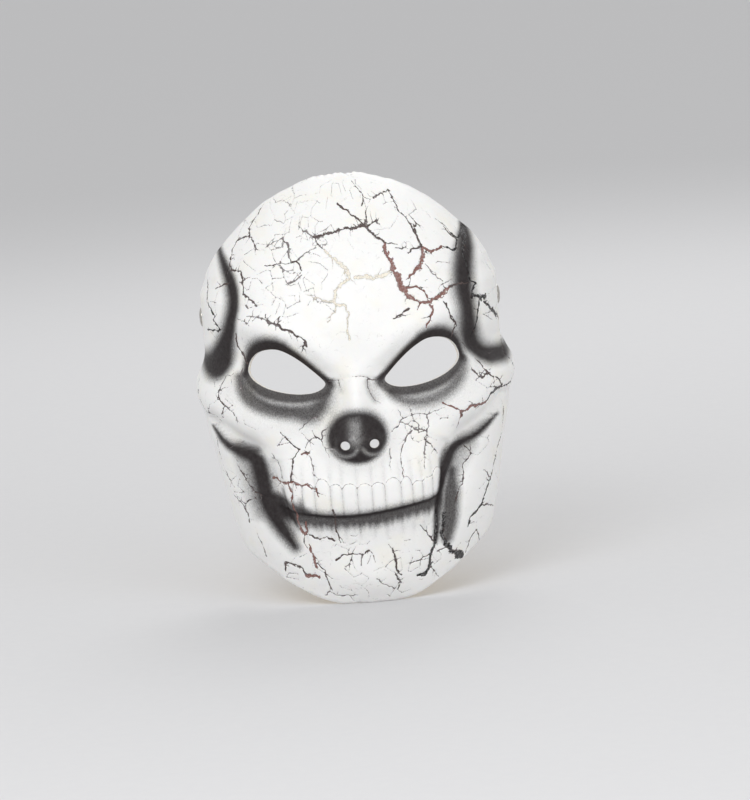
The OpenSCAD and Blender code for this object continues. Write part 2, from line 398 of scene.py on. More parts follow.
# ------------------------------------------------------------- painted shadows
# Airbrushed strokes: strength, then x, z, solid radius and fading radius along the route
STROKES = [
    # grooves before the temples, with their dark feet
    (1.0, [(-64, 66, 0.6, 1.8), (-61, 58, 1.6, 2.9), (-58.5, 50, 2.4, 3.1), (-58.5, 40, 2.4, 3.4),
           (-60, 31, 2.4, 3.4), (-63, 22, 2.6, 3.6), (-67, 13, 3.8, 3.8), (-71, 7, 5.0, 4.1)]),
    (1.0, [(60, 67, 1.4, 1.9), (61, 58, 2.6, 3.4), (59.5, 48, 3.0, 4.1), (59, 34, 2.9, 4.1),
           (60, 22, 2.6, 3.8), (62, 11, 3.0, 3.8), (67, 4, 3.9, 4.1), (74, 2, 3.4, 3.8)]),
    (0.8, [(58, 63, 0.8, 3.4), (57.2, 55, 2.1, 5.0), (55.5, 44, 2.4, 5.8), (55.3, 32, 2.4, 5.8),
           (56.6, 21, 2.1, 5.2), (60, 10, 1.4, 4.4)]),
    # below the cheekbones and down beside the jaws
    (1.0, [(-74, -24, 0.4, 1), (-68, -31.5, 1.1, 2.2), (-60, -34.5, 1.9, 3.1), (-53, -37, 3.0, 3.6),
           (-51, -43, 3.2, 3.8), (-50, -51, 2.8, 3.8), (-48.5, -59.5, 2.9, 4),
           (-45, -68.5, 2.8, 4.2), (-40.5, -76, 2.3, 4.2), (-36.5, -82, 1.4, 4.1)]),
    (0.5, [(-60, -37, 1.0, 4.8), (-56, -44, 1.6, 6), (-54.5, -54, 1.2, 5.3), (-52, -66, 0.6, 4.8)]),
    (0.95, [(-46, -57, 1.6, 2.9), (-42, -63.5, 1.8, 3.1), (-37, -68.5, 1.2, 3.1), (-35, -72, 0.4, 2.4)]),
    (1.0, [(71, -27.6, 0.3, 1), (66, -30.9, 0.8, 1.3), (61, -33.7, 1.0, 1.8), (56, -35.6, 1.2, 2.2),
           (50, -37.2, 1.8, 2.6), (45.5, -40, 2.8, 3.4), (43, -45, 2.9, 3.4), (41, -50, 2.3, 2.6),
           (39.6, -55, 1.8, 2.4), (38, -63, 1.5, 2.3), (36.5, -71, 1.5, 2.3), (34.8, -80, 1.2, 2.2),
           (33.8, -85, 0.5, 1.6)]),
    (0.5, [(55, -38.5, 1.0, 4.3), (50, -43, 1.8, 5.3), (47, -50, 1.6, 4.3)]),
    (0.92, [(46, -50, 1.0, 3.0), (45, -58, 2.4, 3.0), (43.6, -66, 2.7, 3.0), (42, -75, 2.6, 3.2),
            (39.6, -84, 1.6, 3.2)]),
    # outer end of each temple plate
    (0.5, [(-76, 60, 0.3, 1.9), (-77, 40, 0.2, 1.7), (-77, 20, 0.4, 2.4)]),
    # round the eye holes: above, edge below, bag below the fold, shade between them
    (1.0, [(-55, 6, 1.0, 2.6), (-54, 12, 2.0, 3.4), (-50, 16.4, 3.4, 3.8), (-43, 19, 4.2, 4.1),
           (-36, 18.6, 3.8, 3.6), (-30, 14.4, 2.6, 2.9), (-24, 9.4, 1.8, 2.4), (-18, 4.2, 1.5, 2.2),
           (-13, 0.4, 1.2, 1.9)]),
    (1.0, [(55, 6, 1.0, 2.4), (54, 12, 1.8, 2.9), (50, 16.2, 2.8, 3.4), (43, 18.8, 3.6, 3.6),
           (36, 18.4, 3.4, 3.4), (30, 14.4, 2.4, 2.9), (24, 9.4, 1.8, 2.4), (18, 4.2, 1.5, 2.3),
           (13, 0.4, 1.2, 2)]),
    (0.7, [(-14, 0.8, 0.5, 1.9), (-11, 1.1, 0.2, 1.9)]),
    (0.8, [(14, 0.4, 0.5, 2.2), (10.5, 0.1, 0.3, 1.9)]),
    (0.9, [(-54.5, 5, 1.6, 2.4), (-49, -1, 2.4, 1.7), (-41, -4.2, 2.9, 1.4), (-32, -5.6, 3.1, 1.4),
           (-24, -5.5, 3.1, 1.7), (-17, -4.2, 2.8, 2.2), (-12, -1.5, 1.2, 2.4)]),
    (0.86, [(-58, 4, 1.2, 3.1), (-55, -3.5, 2.2, 2.9), (-49, -9, 2.5, 2.9), (-41, -12.5, 2.4, 3.4),
            (-31, -14.2, 2.4, 3.8), (-23, -14.4, 2.8, 4.1), (-17.5, -10.5, 2.2, 3.8),
            (-13.5, -5, 0.8, 2.9)]),
    (0.42, [(-54, 1, 1.0, 3.6), (-46, -6, 3.0, 3.6), (-32, -9.5, 4.0, 3.6), (-20, -8, 3.0, 3.6)]),
    (0.5, [(-27, -17.5, 0.8, 4.1), (-20, -17, 1.8, 4.6), (-16.5, -12, 0.6, 3.6)]),
    (0.9, [(54.5, 5, 1.2, 2.2), (49, -1, 1.8, 1.7), (41, -4.2, 2.6, 1.6), (32, -5.8, 3.0, 1.7),
           (24, -5.8, 3.1, 1.9), (17, -4.6, 2.8, 2.2), (12, -1.8, 1.2, 2.4)]),
    (0.74, [(56, 4, 0.8, 2.9), (53, -2, 1.5, 3.4), (48.5, -7.5, 1.6, 3.6), (42, -11.4, 1.5, 4.1),
            (35, -13.4, 1.3, 4.3), (28, -13.4, 1.0, 4.3), (22, -11, 1.0, 3.8), (17, -7.5, 0.7, 3.4)]),
    (0.4, [(50, -2, 1.0, 3.6), (46, -6, 1.4, 4.1), (32, -9, 2.6, 4.1), (20, -8, 2.4, 3.6)]),
    # creases and shade beside the bridge of the nose
    (0.3, [(-8, 0, 0.2, 2.2), (-7, -4, 0.2, 2.2)]),
    (0.4, [(6, 0, 0.2, 2.4), (6.6, -5, 0.3, 2.4), (9, -10, 0.2, 2.4)]),
    (0.36, [(-11, -1, 1.0, 4.1), (-12, -7, 1.6, 4.8), (-14, -13, 1.6, 5)]),
    (0.2, [(9, -2, 1.0, 4.1), (11, -8, 1.2, 4.6)]),
    # faint spray round the eyes, the nose and the mouth
    (0.12, [(-58, -2, 4, 9), (-44, -14, 4, 9), (-26, -17, 4, 9)]),
    (0.12, [(58, -2, 3, 9), (44, -14, 3, 9), (26, -14, 3, 9)]),
    (0.14, [(-50, 20, 3, 9), (-34, 20, 3, 8), (-20, 9, 2, 7)]),
    (0.14, [(50, 20, 3, 8), (34, 20, 3, 8), (20, 9, 2, 7)]),
    (0.12, [(-3, -27, 13, 7), (1, -27, 13, 7)]),
    (0.12, [(-36, -66, 4, 8), (0, -70, 4, 9), (34, -66, 4, 8)]),
    # over the lower half of the left molars
    (0.85, [(-44, -57.5, 1.0, 3.1), (-38, -60, 1.6, 3.6), (-32, -61.2, 1.4, 3.6), (-27, -63, 0.6, 3.1)]),
    (0.6, [(-41, -53, 0.4, 2.6), (-40, -58, 1.2, 2.9)]),
    (0.55, [(-30, -57, 0.4, 2.6), (-30, -61, 1.2, 3.1)]),
]
# Centre x and z and radii of the black nose
NOSE_SHADOW = (-1.0, -26.7, 14.6, 13.2)


def stroke(x, z, strength, route):
    """Black laid down by one pass of the airbrush."""
    p = np.array(route, float)
    gap, where, _ = along_line(x, z, p)
    run = runs(p[:, :2])
    solid = np.interp(where, run / run[-1], p[:, 2])
    fading = np.interp(where, run / run[-1], p[:, 3])
    return strength * (1 - ease(gap, solid - 0.35 * fading, solid + fading))


def nose_shadow(x, z):
    """Black nasal opening, fuzzy at the top, with painted highlights on the septum and under the bulbs.
    """
    cx, cz, rx, rz = NOSE_SHADOW
    r = np.hypot((x - cx) / rx, (z - cz) / rz)
    fuzz = 0.06 + 0.06 * ease(z, -30, -15)
    hole = 1 - ease(r, 0.95 - fuzz, 1.05 + fuzz * 1.5)
    # Painted highlight: a lighter stripe down the septum thins the black
    septum = 0.3 * np.exp(-((x + 2.0) / 2.9) ** 2) * ease(z, -34, -27) * ease(-z, 14.5, 21)
    light = septum
    # Painted highlights: lighter rings under the two bulbs
    for side in (-1, 1):
        d = np.hypot(x - side * NOSTRIL[0], z - NOSTRIL[1])
        below = ease(NOSTRIL[1] - z, 0.5, 3)
        light = light + 0.3 * np.exp(-((d - 5.8) / 0.9) ** 2) * below
    return hole * (1 - np.minimum(light, 0.6))


def bite_shadow(x, z):
    """Dark gap below the upper teeth, fading down over the lower jaw."""
    below = bite_line(x) - z
    streaks = 0.8 * np.sin(1.3 * x + 2.1 * np.sin(0.37 * x + 0.6)) * np.sin(0.73 * x + 1)
    above = 4.8 + 1.2 * ease(-x, 10, 30)
    gap = np.exp(-(np.maximum(np.abs(below - 0.3) - 0.45, 0) / 0.5) ** 2)
    smoke = 0.93 * ease(below, -above, 0.6) ** 1.35 * (1 - ease(below + streaks, 3.8, 9.4))
    return in_row(x, 1.5, 2.5) * (1 - (1 - gap) * (1 - smoke))


def tooth_shadow(x, z):
    """Faint shade between the teeth and between their roots."""
    k, t = tooth_at(x)
    to_gap = np.minimum(t, 1 - t) * (GAPS[k + 1] - GAPS[k])
    above_gum = z - gum_line(x)
    crown = ease(z - bite_line(x), -0.5, 2) * (1 - ease(above_gum, -1.5, 0))
    between = 0.13 * np.exp(-(to_gap / 0.9) ** 2)
    roots = 0.11 * np.exp(-(to_gap / 1.0) ** 2) * ease(above_gum, 0, 3) * (1 - ease(z, -44, -36))
    lower = 0.12 * np.exp(-(to_gap / 0.9) ** 2) * ease(z, -80, -75) * (1 - ease(z, -73, -70))
    return in_row(x, 0.5, 1) * (between * crown + roots + lower)


def tooth_lines():
    """Outlines of the upper teeth, as lines like the cracks': tone, half widths, route."""
    lines = []
    for k in range(len(TEETH) - 1):
        x = np.linspace(GAPS[k], GAPS[k + 1], 9)
        gum = gum_line(np.clip(x, GAPS[k], GAPS[k + 1] - 0.01))
        lines.append(("pale", 0.17, 0.15, list(zip(x, gum))))
        if k > 0:
            foot = bite_line(GAPS[k:k + 1])[0]
            lines.append(("pale", 0.11, 0.05, [(GAPS[k], GUM_AT_GAPS[k]), (GAPS[k], foot)]))
    return lines


def shadows(x, z):
    """How black each point is, 0 to 1: the airbrush's black, the dark gap below the teeth, painted shade
    between the teeth, and less black where highlights are painted on the nose.
    """
    clear = np.ones(np.shape(x))
    for strength, route in STROKES:
        clear *= 1 - stroke(x, z, strength, rounded(route, 1))
    clear *= 1 - nose_shadow(x, z)
    clear *= 1 - bite_shadow(x, z)
    # Painted shade between the teeth and between their roots
    clear *= 1 - tooth_shadow(x, z)
    return 1 - clear


# --------------------------------------------------------------- painted cracks
def srgb(r, g, b):
    """Linear colour of a screen colour."""
    return tuple(c / 12.92 if c <= 0.04045 else ((c + 0.055) / 1.055) ** 2.4 for c in (r, g, b))


CRACK_TONES = {
    "black": srgb(0.1, 0.085, 0.085),
    "dark": srgb(0.33, 0.28, 0.27),
    "grey": srgb(0.50, 0.47, 0.47),
    "pale": srgb(0.72, 0.71, 0.71),
    "brown": srgb(0.51, 0.36, 0.33),
    "beige": srgb(0.89, 0.865, 0.81),
}
# Cracks: tone, half width at each end, route in x and z
CRACKS = [
    # forehead, the big crack from the top to the right brow
    ("dark", 0.35, 0.67, [(-2, 84), (3, 80), (8, 76), (12, 72)]),
    ("dark", 0.85, 0.67, [(12, 72), (16, 68), (20, 65)]),
    ("brown", 0.67, 0.92, [(20, 65), (19, 62), (22, 57)]),
    ("brown", 0.98, 1.42, [(22, 57), (23, 51), (25, 49), (26, 45), (29, 39)]),
    ("brown", 0.92, 0.41, [(29, 39), (31, 38), (35, 35)]),
    ("brown", 0.54, 1.17, [(35, 35), (39, 35), (46, 38)]),
    ("brown", 1.04, 0.48, [(46, 38), (50, 41)]),
    ("dark", 0.48, 0.41, [(50, 41), (56, 42), (62, 41)]),
    ("brown", 0.41, 0.54, [(28, 43), (34, 43), (38, 40), (39, 35)]),
    ("dark", 0.79, 0.17, [(11, 73), (12, 80)]),
    ("dark", 0.48, 0.17, [(12, 73), (18, 76)]),
    ("dark", 0.67, 0.48, [(11, 73), (4, 73), (-6, 71), (-15, 70)]),
    ("dark", 0.35, 0.17, [(-15, 70), (-13, 67), (-10, 64)]),
    ("grey", 0.35, 0.17, [(-15, 70), (-18, 72), (-22, 75)]),
    ("dark", 0.23, 0.6, [(24, 87), (26, 83), (28, 78), (32, 74), (35, 68), (38, 61)]),
    ("brown", 0.67, 0.98, [(38, 61), (38, 57), (36, 52)]),
    ("brown", 0.92, 0.23, [(36, 52), (29, 47)]),
    ("dark", 0.41, 0.17, [(20, 65), (26, 63.5)]),
    ("dark", 0.29, 0.17, [(25, 62), (31, 61)]),
    ("dark", 0.23, 0.48, [(31, 59), (34, 61), (38, 61)]),
    ("brown", 0.6, 0.41, [(38, 61), (42, 58), (48, 60)]),
    ("black", 0.32, 0.48, [(48, 60), (55, 57), (56.5, 61.5)]),
    ("dark", 0.23, 0.54, [(33, 76), (36, 72), (35, 68)]),
    ("dark", 0.17, 0.35, [(46, 72), (50, 69), (53, 65)]),
    ("black", 0.41, 1.04, [(53, 65), (57, 62), (60, 65)]),
    ("black", 0.92, 0.41, [(60, 66), (60, 61), (59, 56), (61, 50), (62, 42)]),
    ("brown", 0.6, 0.29, [(39, 35), (40, 31), (37, 26), (36, 23)]),
    ("brown", 0.48, 0.23, [(35, 35), (33, 32)]),
    ("dark", 0.17, 0.41, [(21, 29), (24, 30), (29, 33)]),
    ("dark", 0.35, 0.23, [(46, 34), (48, 27), (53, 22), (52, 20)]),
    ("grey", 0.17, 0.29, [(39, 53), (42, 48), (47, 44)]),
    ("beige", 0.42, 0.77, [(-10, 64), (-5, 59), (1, 54)]),
    ("beige", 0.59, 0.94, [(4, 50), (9, 50), (14, 49), (21, 51)]),
    ("beige", 0.77, 0.51, [(1, 54), (1, 50), (-3, 48), (-7, 43), (-7, 39)]),
    ("beige", 0.59, 0.34, [(-7, 39), (-2, 37), (0, 33), (-2, 27), (-1, 21)]),
    ("beige", 0.42, 0.17, [(-7, 39), (-16, 42), (-21, 44)]),
    ("beige", 0.34, 0.17, [(-7, 39), (-7, 35), (-11, 30)]),
    # forehead, left and top
    ("dark", 0.44, 0.34, [(-39, 84), (-42, 80), (-45, 77)]),
    ("dark", 0.34, 0.5, [(-45, 77), (-47, 74), (-47, 71), (-53, 69)]),
    ("dark", 0.44, 0.34, [(-53, 69), (-56, 65), (-58, 60), (-58, 56)]),
    ("dark", 0.38, 0.2, [(-47, 71), (-45, 69), (-43, 65)]),
    ("dark", 0.4, 0.44, [(-58, 56), (-53, 56), (-52, 53), (-52, 45)]),
    ("dark", 0.44, 0.2, [(-52, 45), (-49, 43), (-45, 39)]),
    ("dark", 0.2, 0.3, [(-40, 58), (-35, 58), (-27, 59), (-23, 59), (-22, 55)]),
    ("grey", 0.3, 0.18, [(-27, 59), (-28, 63), (-27, 67), (-31, 70), (-39, 66)]),
    ("grey", 0.28, 0.17, [(-23, 60), (-20, 63), (-14, 65)]),
    ("grey", 0.28, 0.17, [(-22, 53), (-24, 51), (-29, 49)]),
    ("grey", 0.17, 0.35, [(-50, 34), (-44, 34), (-38, 31), (-33, 28)]),
    ("dark", 0.23, 0.35, [(25, 84), (24, 88), (16, 85)]),
    ("dark", 0.35, 0.17, [(10, 82), (11, 87), (6, 93)]),
    ("dark", 0.23, 0.48, [(-41, 35), (-40, 31), (-35, 30), (-33, 28), (-28, 26)]),
    ("dark", 0.41, 0.54, [(-28, 26), (-26, 24), (-22, 22), (-22, 19)]),
    ("dark", 0.29, 0.17, [(-23, 21), (-25, 16)]),
    ("dark", 0.41, 0.17, [(-35, 30), (-34, 34)]),
    # left temple and cheek
    ("black", 0.35, 0.54, [(-70, 49), (-70, 44), (-70, 38), (-67, 33)]),
    ("black", 0.23, 0.48, [(-72, 25), (-65, 26), (-68, 31)]),
    ("dark", 0.41, 0.23, [(-60, 50), (-66, 46)]),
    ("dark", 0.41, 0.54, [(-58, 25), (-59, 19), (-57, 14)]),
    ("dark", 0.54, 0.41, [(-58, 16), (-55, 11), (-53, 7)]),
    ("grey", 0.41, 0.23, [(-57, 8), (-57, 0), (-55, -5)]),
    ("dark", 0.23, 0.41, [(-65, 4), (-66, -4), (-65, -8), (-62, -10), (-65, -16)]),
    ("black", 0.29, 0.48, [(-77, -1), (-76, -11), (-74, -17), (-72, -21)]),
    ("dark", 0.41, 0.17, [(-74, -17), (-69, -10)]),
    ("grey", 0.29, 0.17, [(-62, -10), (-58, -13), (-56, -18)]),
    ("dark", 0.17, 0.41, [(-38, -23), (-34, -28), (-30, -32)]),
    ("dark", 0.41, 0.29, [(-30, -32), (-33, -36), (-34, -42), (-35, -48)]),
    ("brown", 0.6, 0.29, [(-29, -34.5), (-25, -34)]),
    ("grey", 0.23, 0.17, [(-26, -34), (-24, -38), (-23, -45)]),
    ("grey", 0.29, 0.17, [(-40, -47), (-41, -40), (-44, -34)]),
    # left jaw
    ("dark", 0.29, 0.17, [(-72, -30), (-70, -40), (-67, -48), (-63, -53)]),
    ("dark", 0.17, 0.35, [(-61, -41), (-57, -48), (-53, -54)]),
    ("dark", 0.41, 0.17, [(-53, -54), (-50, -56)]),
    ("dark", 0.23, 0.41, [(-64, -57), (-59, -61), (-57, -66), (-57, -70)]),
    ("dark", 0.35, 0.23, [(-53, -57), (-56, -58), (-58, -62)]),
    ("dark", 0.17, 0.35, [(-54, -76), (-52, -82), (-51, -88)]),
    # left corner of the mouth down to the chin
    ("brown", 0.54, 0.41, [(-46, -47), (-44, -49), (-40, -49), (-36, -48)]),
    ("brown", 0.48, 0.35, [(-36, -48), (-32, -48), (-29, -50), (-26, -49), (-24, -51)]),
    ("brown", 0.35, 0.48, [(-36, -49), (-34, -53), (-35, -58), (-34, -63)]),
    ("brown", 0.48, 1.04, [(-34, -63), (-34, -69), (-32, -74), (-31, -75)]),
    ("brown", 0.92, 0.29, [(-31, -75), (-29, -73), (-29, -68)]),
    ("dark", 0.48, 0.17, [(-31, -75), (-32, -79), (-30, -82)]),
    ("dark", 0.41, 0.35, [(-28, -75), (-24, -77), (-19, -76), (-16, -78)]),
    ("brown", 0.48, 1.04, [(-29, -80), (-27, -86), (-26, -92)]),
    ("dark", 0.54, 0.54, [(-42, -95), (-42, -90), (-38, -91), (-34, -92), (-32, -96)]),
    ("brown", 0.67, 0.79, [(-32, -97), (-29, -96.5), (-25, -97)]),
    ("dark", 0.35, 0.23, [(-25, -90), (-22, -93), (-21, -97), (-19, -104)]),
    # chin
    ("dark", 0.29, 0.35, [(-16, -88), (-13, -86), (-8, -85), (-3, -86)]),
    ("dark", 0.35, 0.17, [(-3, -86), (0, -84), (2, -85), (3, -90)]),
    ("dark", 0.29, 0.17, [(-8, -85), (-10, -93)]),
    ("grey", 0.29, 0.17, [(-3, -86), (-4, -91)]),
    ("dark", 0.23, 0.41, [(10, -82), (12, -86), (13, -91), (13, -95), (15, -98)]),
    ("dark", 0.35, 0.29, [(12, -97), (14, -102), (13, -105)]),
    ("grey", 0.23, 0.23, [(3, -98), (7, -102), (11, -105)]),
    ("grey", 0.29, 0.23, [(-23, -107), (-20, -105), (-16, -107), (-12, -107), (-7, -107)]),
    ("dark", 0.48, 0.23, [(-15, -62), (-15, -68), (-14, -75), (-13, -79)]),
    ("brown", 0.41, 0.23, [(-22, -51), (-21, -55)]),
    # right temple and cheek
    ("dark", 0.29, 0.54, [(50, 68), (52, 65), (56, 62)]),
    ("black", 0.48, 0.67, [(62, 42), (64, 40), (63, 37), (62, 33)]),
    ("black", 1.0, 1.5, [(62.5, 35), (65, 32.5), (68, 32)]),
    ("black", 0.48, 0.35, [(65, 31), (64, 23), (62, 14)]),
    ("black", 0.8, 1.7, [(67, 29.6), (70, 25.3), (73.5, 20)]),
    ("black", 0.92, 0.41, [(73.5, 20.5), (74.5, 16)]),
    ("dark", 0.29, 0.23, [(76.5, 16), (75, 9), (75, 1), (77, -5)]),
    ("grey", 0.23, 0.29, [(66, 56), (70, 47), (73, 38)]),
    ("dark", 0.29, 0.35, [(47, 33), (48, 26), (52, 23), (51, 16)]),
    ("dark", 0.35, 0.17, [(53, 10), (57, 12), (59, 10)]),
    ("dark", 0.23, 0.54, [(61, 4), (64, -4), (65, -6), (68, -9), (70, -14)]),
    ("black", 0.8, 0.75, [(70, -12), (67, -13.6), (63, -15.2), (62, -18.2)]),
    ("brown", 0.75, 0.5, [(62, -18.2), (57, -18.5), (53, -18.5), (50, -20.4)]),
    ("dark", 0.35, 0.17, [(64, -5), (60, -6), (58, -1)]),
    ("black", 0.48, 0.41, [(77, -5), (78, -9), (77, -14), (70, -13)]),
    ("brown", 0.41, 0.29, [(42, -15), (46, -18), (49, -20)]),
    ("brown", 0.54, 0.23, [(49, -20), (49, -24), (49, -29)]),
    ("grey", 0.29, 0.17, [(49, -21), (55, -18), (62, -19)]),
    ("grey", 0.29, 0.17, [(26, -27), (23, -30), (20, -35), (19, -41), (19, -48)]),
    ("grey", 0.23, 0.17, [(14, -34), (14, -38), (13, -42)]),
    ("grey", 0.23, 0.17, [(33, -30), (31, -38), (30, -46)]),
    # right jaw
    ("dark", 0.17, 0.29, [(52, -38), (55, -43), (51, -48), (50, -57), (47, -61), (46, -66)]),
    ("dark", 0.35, 0.41, [(74, -26), (71, -39), (68, -44), (65, -52), (62, -59)]),
    ("black", 0.6, 0.67, [(62, -59), (60, -62), (57, -71), (51, -76), (50, -80)]),
    ("dark", 0.41, 0.17, [(57, -71), (60, -72), (64, -76)]),
    ("dark", 0.17, 0.35, [(59, -53), (61, -56), (62, -59)]),
    ("dark", 0.35, 0.29, [(54, -83), (51, -87), (48, -94)]),
    ("dark", 0.35, 0.17, [(54, -83), (56, -92)]),
    ("black", 0.67, 1.04, [(37, -66), (36, -74), (34, -81), (33, -87)]),
    ("black", 0.79, 1.17, [(33, -87), (30, -91), (30, -96), (27, -100), (23, -100)]),
    ("black", 0.92, 1.04, [(40, -72), (38, -81), (39, -88)]),
    ("black", 1.29, 1.54, [(39, -88), (43, -92), (46, -95)]),
    ("dark", 0.29, 0.17, [(39, -88), (34, -90)]),
    ("dark", 0.29, 0.17, [(30, -90), (24, -92), (18, -93)]),
    ("dark", 0.35, 0.17, [(30, -97), (34, -104)]),
    ("dark", 0.17, 0.41, [(26, -74), (30, -80), (33, -84)]),
    ("dark", 0.29, 0.29, [(12, -84), (12, -88), (13, -94)]),
    # beside the nose
    ("dark", 0.12, 0.35, [(-23, -23), (-21, -26.7), (-19, -27.4)]),
    ("grey", 0.3, 0.12, [(-19, -27.4), (-17, -31.4), (-15, -36)]),
    ("grey", 0.3, 0.15, [(-18, -27), (-18, -24), (-15, -21.5)]),
    ("grey", 0.2, 0.12, [(-22, -26.7), (-26, -28.8), (-27, -31.2)]),
    ("grey", 0.12, 0.3, [(-29, -22), (-26, -19.3), (-23, -17.2), (-20, -16.3)]),
    ("grey", 0.3, 0.15, [(16, -25.7), (19, -23.7), (22, -20.4), (20, -16)]),
    ("grey", 0.2, 0.15, [(22, -20.4), (25, -19.7), (30, -19.2), (34, -19.7), (42, -17.3)]),
    ("grey", 0.2, 0.35, [(20, -22), (25, -23.5), (27, -26.2), (32, -27.6)]),
    ("grey", 0.3, 0.15, [(34, -19.7), (34, -26), (32, -31.6), (31, -38.7)]),
    ("dark", 0.3, 0.2, [(32, -31.6), (36, -37), (38, -39.9)]),
]
# Thin creases at the brow and beside the bridge of the nose, drawn without branches
FINE_CREASES = [
    ("grey", 0.2, 0.12, [(-13, 0.8), (-11, 1.1), (-8, 1.2)]),
    ("grey", 0.2, 0.1, [(-8, 0.9), (-7.7, -1), (-7, -3.4)]),
    ("grey", 0.25, 0.12, [(11, -0.2), (8, 0.1), (6, 1.7), (3, 2.8), (-1, 3.1)]),
    ("grey", 0.25, 0.12, [(6, 0.4), (6, -2.8), (7, -6.3), (9, -10), (11.5, -11.6)]),
]
# Webs of fine crazing: centre x and z, radii, size of a cell, share of its sides that show, tone.
# Past LAST_SEEN_X the centre is an angle from the front instead of x
CRAZING = [
    (-38, 61, 18, 16, 6.5, 0.62, "grey"), (-50, 42, 9, 14, 4.6, 0.45, "grey"),
    (-28, 72, 24, 16, 5.0, 0.6, "pale"), (-22, 50, 20, 14, 5.4, 0.5, "pale"),
    (-40, 36, 15, 8, 4.6, 0.5, "grey"), (-12, 89, 26, 7, 4.4, 0.5, "pale"),
    (22, 85, 16, 8, 5.0, 0.45, "pale"), (-20, 75, 14, 9, 6.0, 0.35, "pale"),
    (-18, 40, 13, 14, 6.0, 0.3, "pale"), (30, 73, 16, 9, 6.5, 0.3, "pale"),
    (46, 50, 8, 12, 5.5, 0.35, "grey"), (4, 60, 18, 8, 8.0, 0.2, "pale"),
    (-64, -6, 10, 16, 4.8, 0.55, "grey"), (-32, -30, 12, 9, 5.0, 0.45, "grey"),
    (-54, -22, 10, 8, 6.0, 0.35, "pale"), (66, -6, 9, 14, 5.2, 0.45, "grey"),
    (33, -26, 16, 12, 6.0, 0.45, "grey"), (-62, -52, 9, 22, 6.0, 0.45, "grey"),
    (60, -50, 9, 22, 6.0, 0.45, "grey"), (-32, -92, 14, 9, 5.0, 0.5, "grey"),
    (2, -94, 22, 10, 5.6, 0.5, "pale"), (32, -92, 12, 10, 5.2, 0.5, "grey"),
    (0, -79, 24, 6, 5.0, 0.35, "pale"), (-4, -105, 34, 5, 4.2, 0.5, "grey"),
    (8, -43, 20, 5, 6.0, 0.25, "pale"), (-16, -44, 10, 5, 6.0, 0.25, "pale"),
    (-68, 36, 6, 16, 5.0, 0.4, "grey"), (70, 34, 6, 18, 5.0, 0.4, "grey"),
    (-92, 30, 18, 20, 7.0, 0.4, "pale"), (92, 30, 18, 20, 7.0, 0.4, "pale"),
    (-90, -30, 12, 30, 7.0, 0.4, "pale"), (90, -30, 12, 30, 7.0, 0.4, "pale"),
]
CRAZE_HALF_WIDTH = (0.08, 0.2)
# Length of the straight stretches of a line, and how far their ends stand off its route
TOOTH_JAG = (0.9, 0.12)
CRACK_JAG = (1.5, 0.5)
CRAZE_JAG = (1.1, 0.25)
# Tone of the twigs that leave a crack
TWIG_TONE = {"black": "dark", "brown": "dark", "dark": "grey", "grey": "pale", "beige": "beige"}
TWIG_LENGTH = (1.5, 5)
TWIG_TURN = (0.6, 1.3)
LAST_SEEN_X = 80
SAMPLE_GAP = 0.25
NEIGHBOURS = 5
# Depth given to the places that no crack is near
FAR_OUTSIDE = -3.0
CRACK_SEED = 31
MERGE_GAP = 1e-5


def jagged(points, stretch, shift, rng):
    """A route broken into short stretches whose ends stand off it to either side."""
    p = resampled(points, stretch)
    along = np.gradient(p, axis=0)
    across = np.stack([-along[:, 1], along[:, 0]], -1) / np.linalg.norm(along, axis=1, keepdims=True)
    off = rng.uniform(-shift, shift, (len(p), 1))
    off[[0, -1]] = 0
    return p + across * off


def web(cx, cz, rx, rz, cell, shown, rng):
    """Some of the cell sides of an irregular web, as pairs of ends."""
    middle, radii = np.array([cx, cz]), np.array([rx, rz])
    count = int(4 * rx * rz / cell ** 2)
    seeds = middle + radii * rng.uniform(-1, 1, (count, 2))
    places, _, triangles, _, _, _ = delaunay_2d_cdt([Vector(q) for q in seeds], [], [], 0, MERGE_GAP)
    corners = {}
    for triangle in triangles:
        a, b, c = (np.array(places[k]) for k in triangle)
        twice = 2 * np.array([b - a, c - a])
        corner = a + np.linalg.solve(twice, [np.dot(b - a, b - a), np.dot(c - a, c - a)])
        for k in range(3):
            corners.setdefault(frozenset((triangle[k], triangle[k - 1])), []).append(corner)
    sides = [np.array(pair) for pair in corners.values() if len(pair) == 2]
    return [pair for pair in sides
            if np.all(np.linalg.norm((pair - middle) / radii, axis=1) < 1.1)
            and 0.3 < np.linalg.norm(pair[1] - pair[0]) < 1.4 * cell and rng.random() < shown]


def grown(start, heading, length, rng):
    """A small crack that wanders off from a point."""
    points = [np.array(start, float)]
    while length > 0:
        heading += rng.normal(0, 0.1)
        kinked = heading + rng.normal(0, 0.45)
        step = rng.uniform(0.7, 1.9)
        points.append(points[-1] + step * np.array([math.cos(kinked), math.sin(kinked)]))
        length -= step
    return np.array(points)


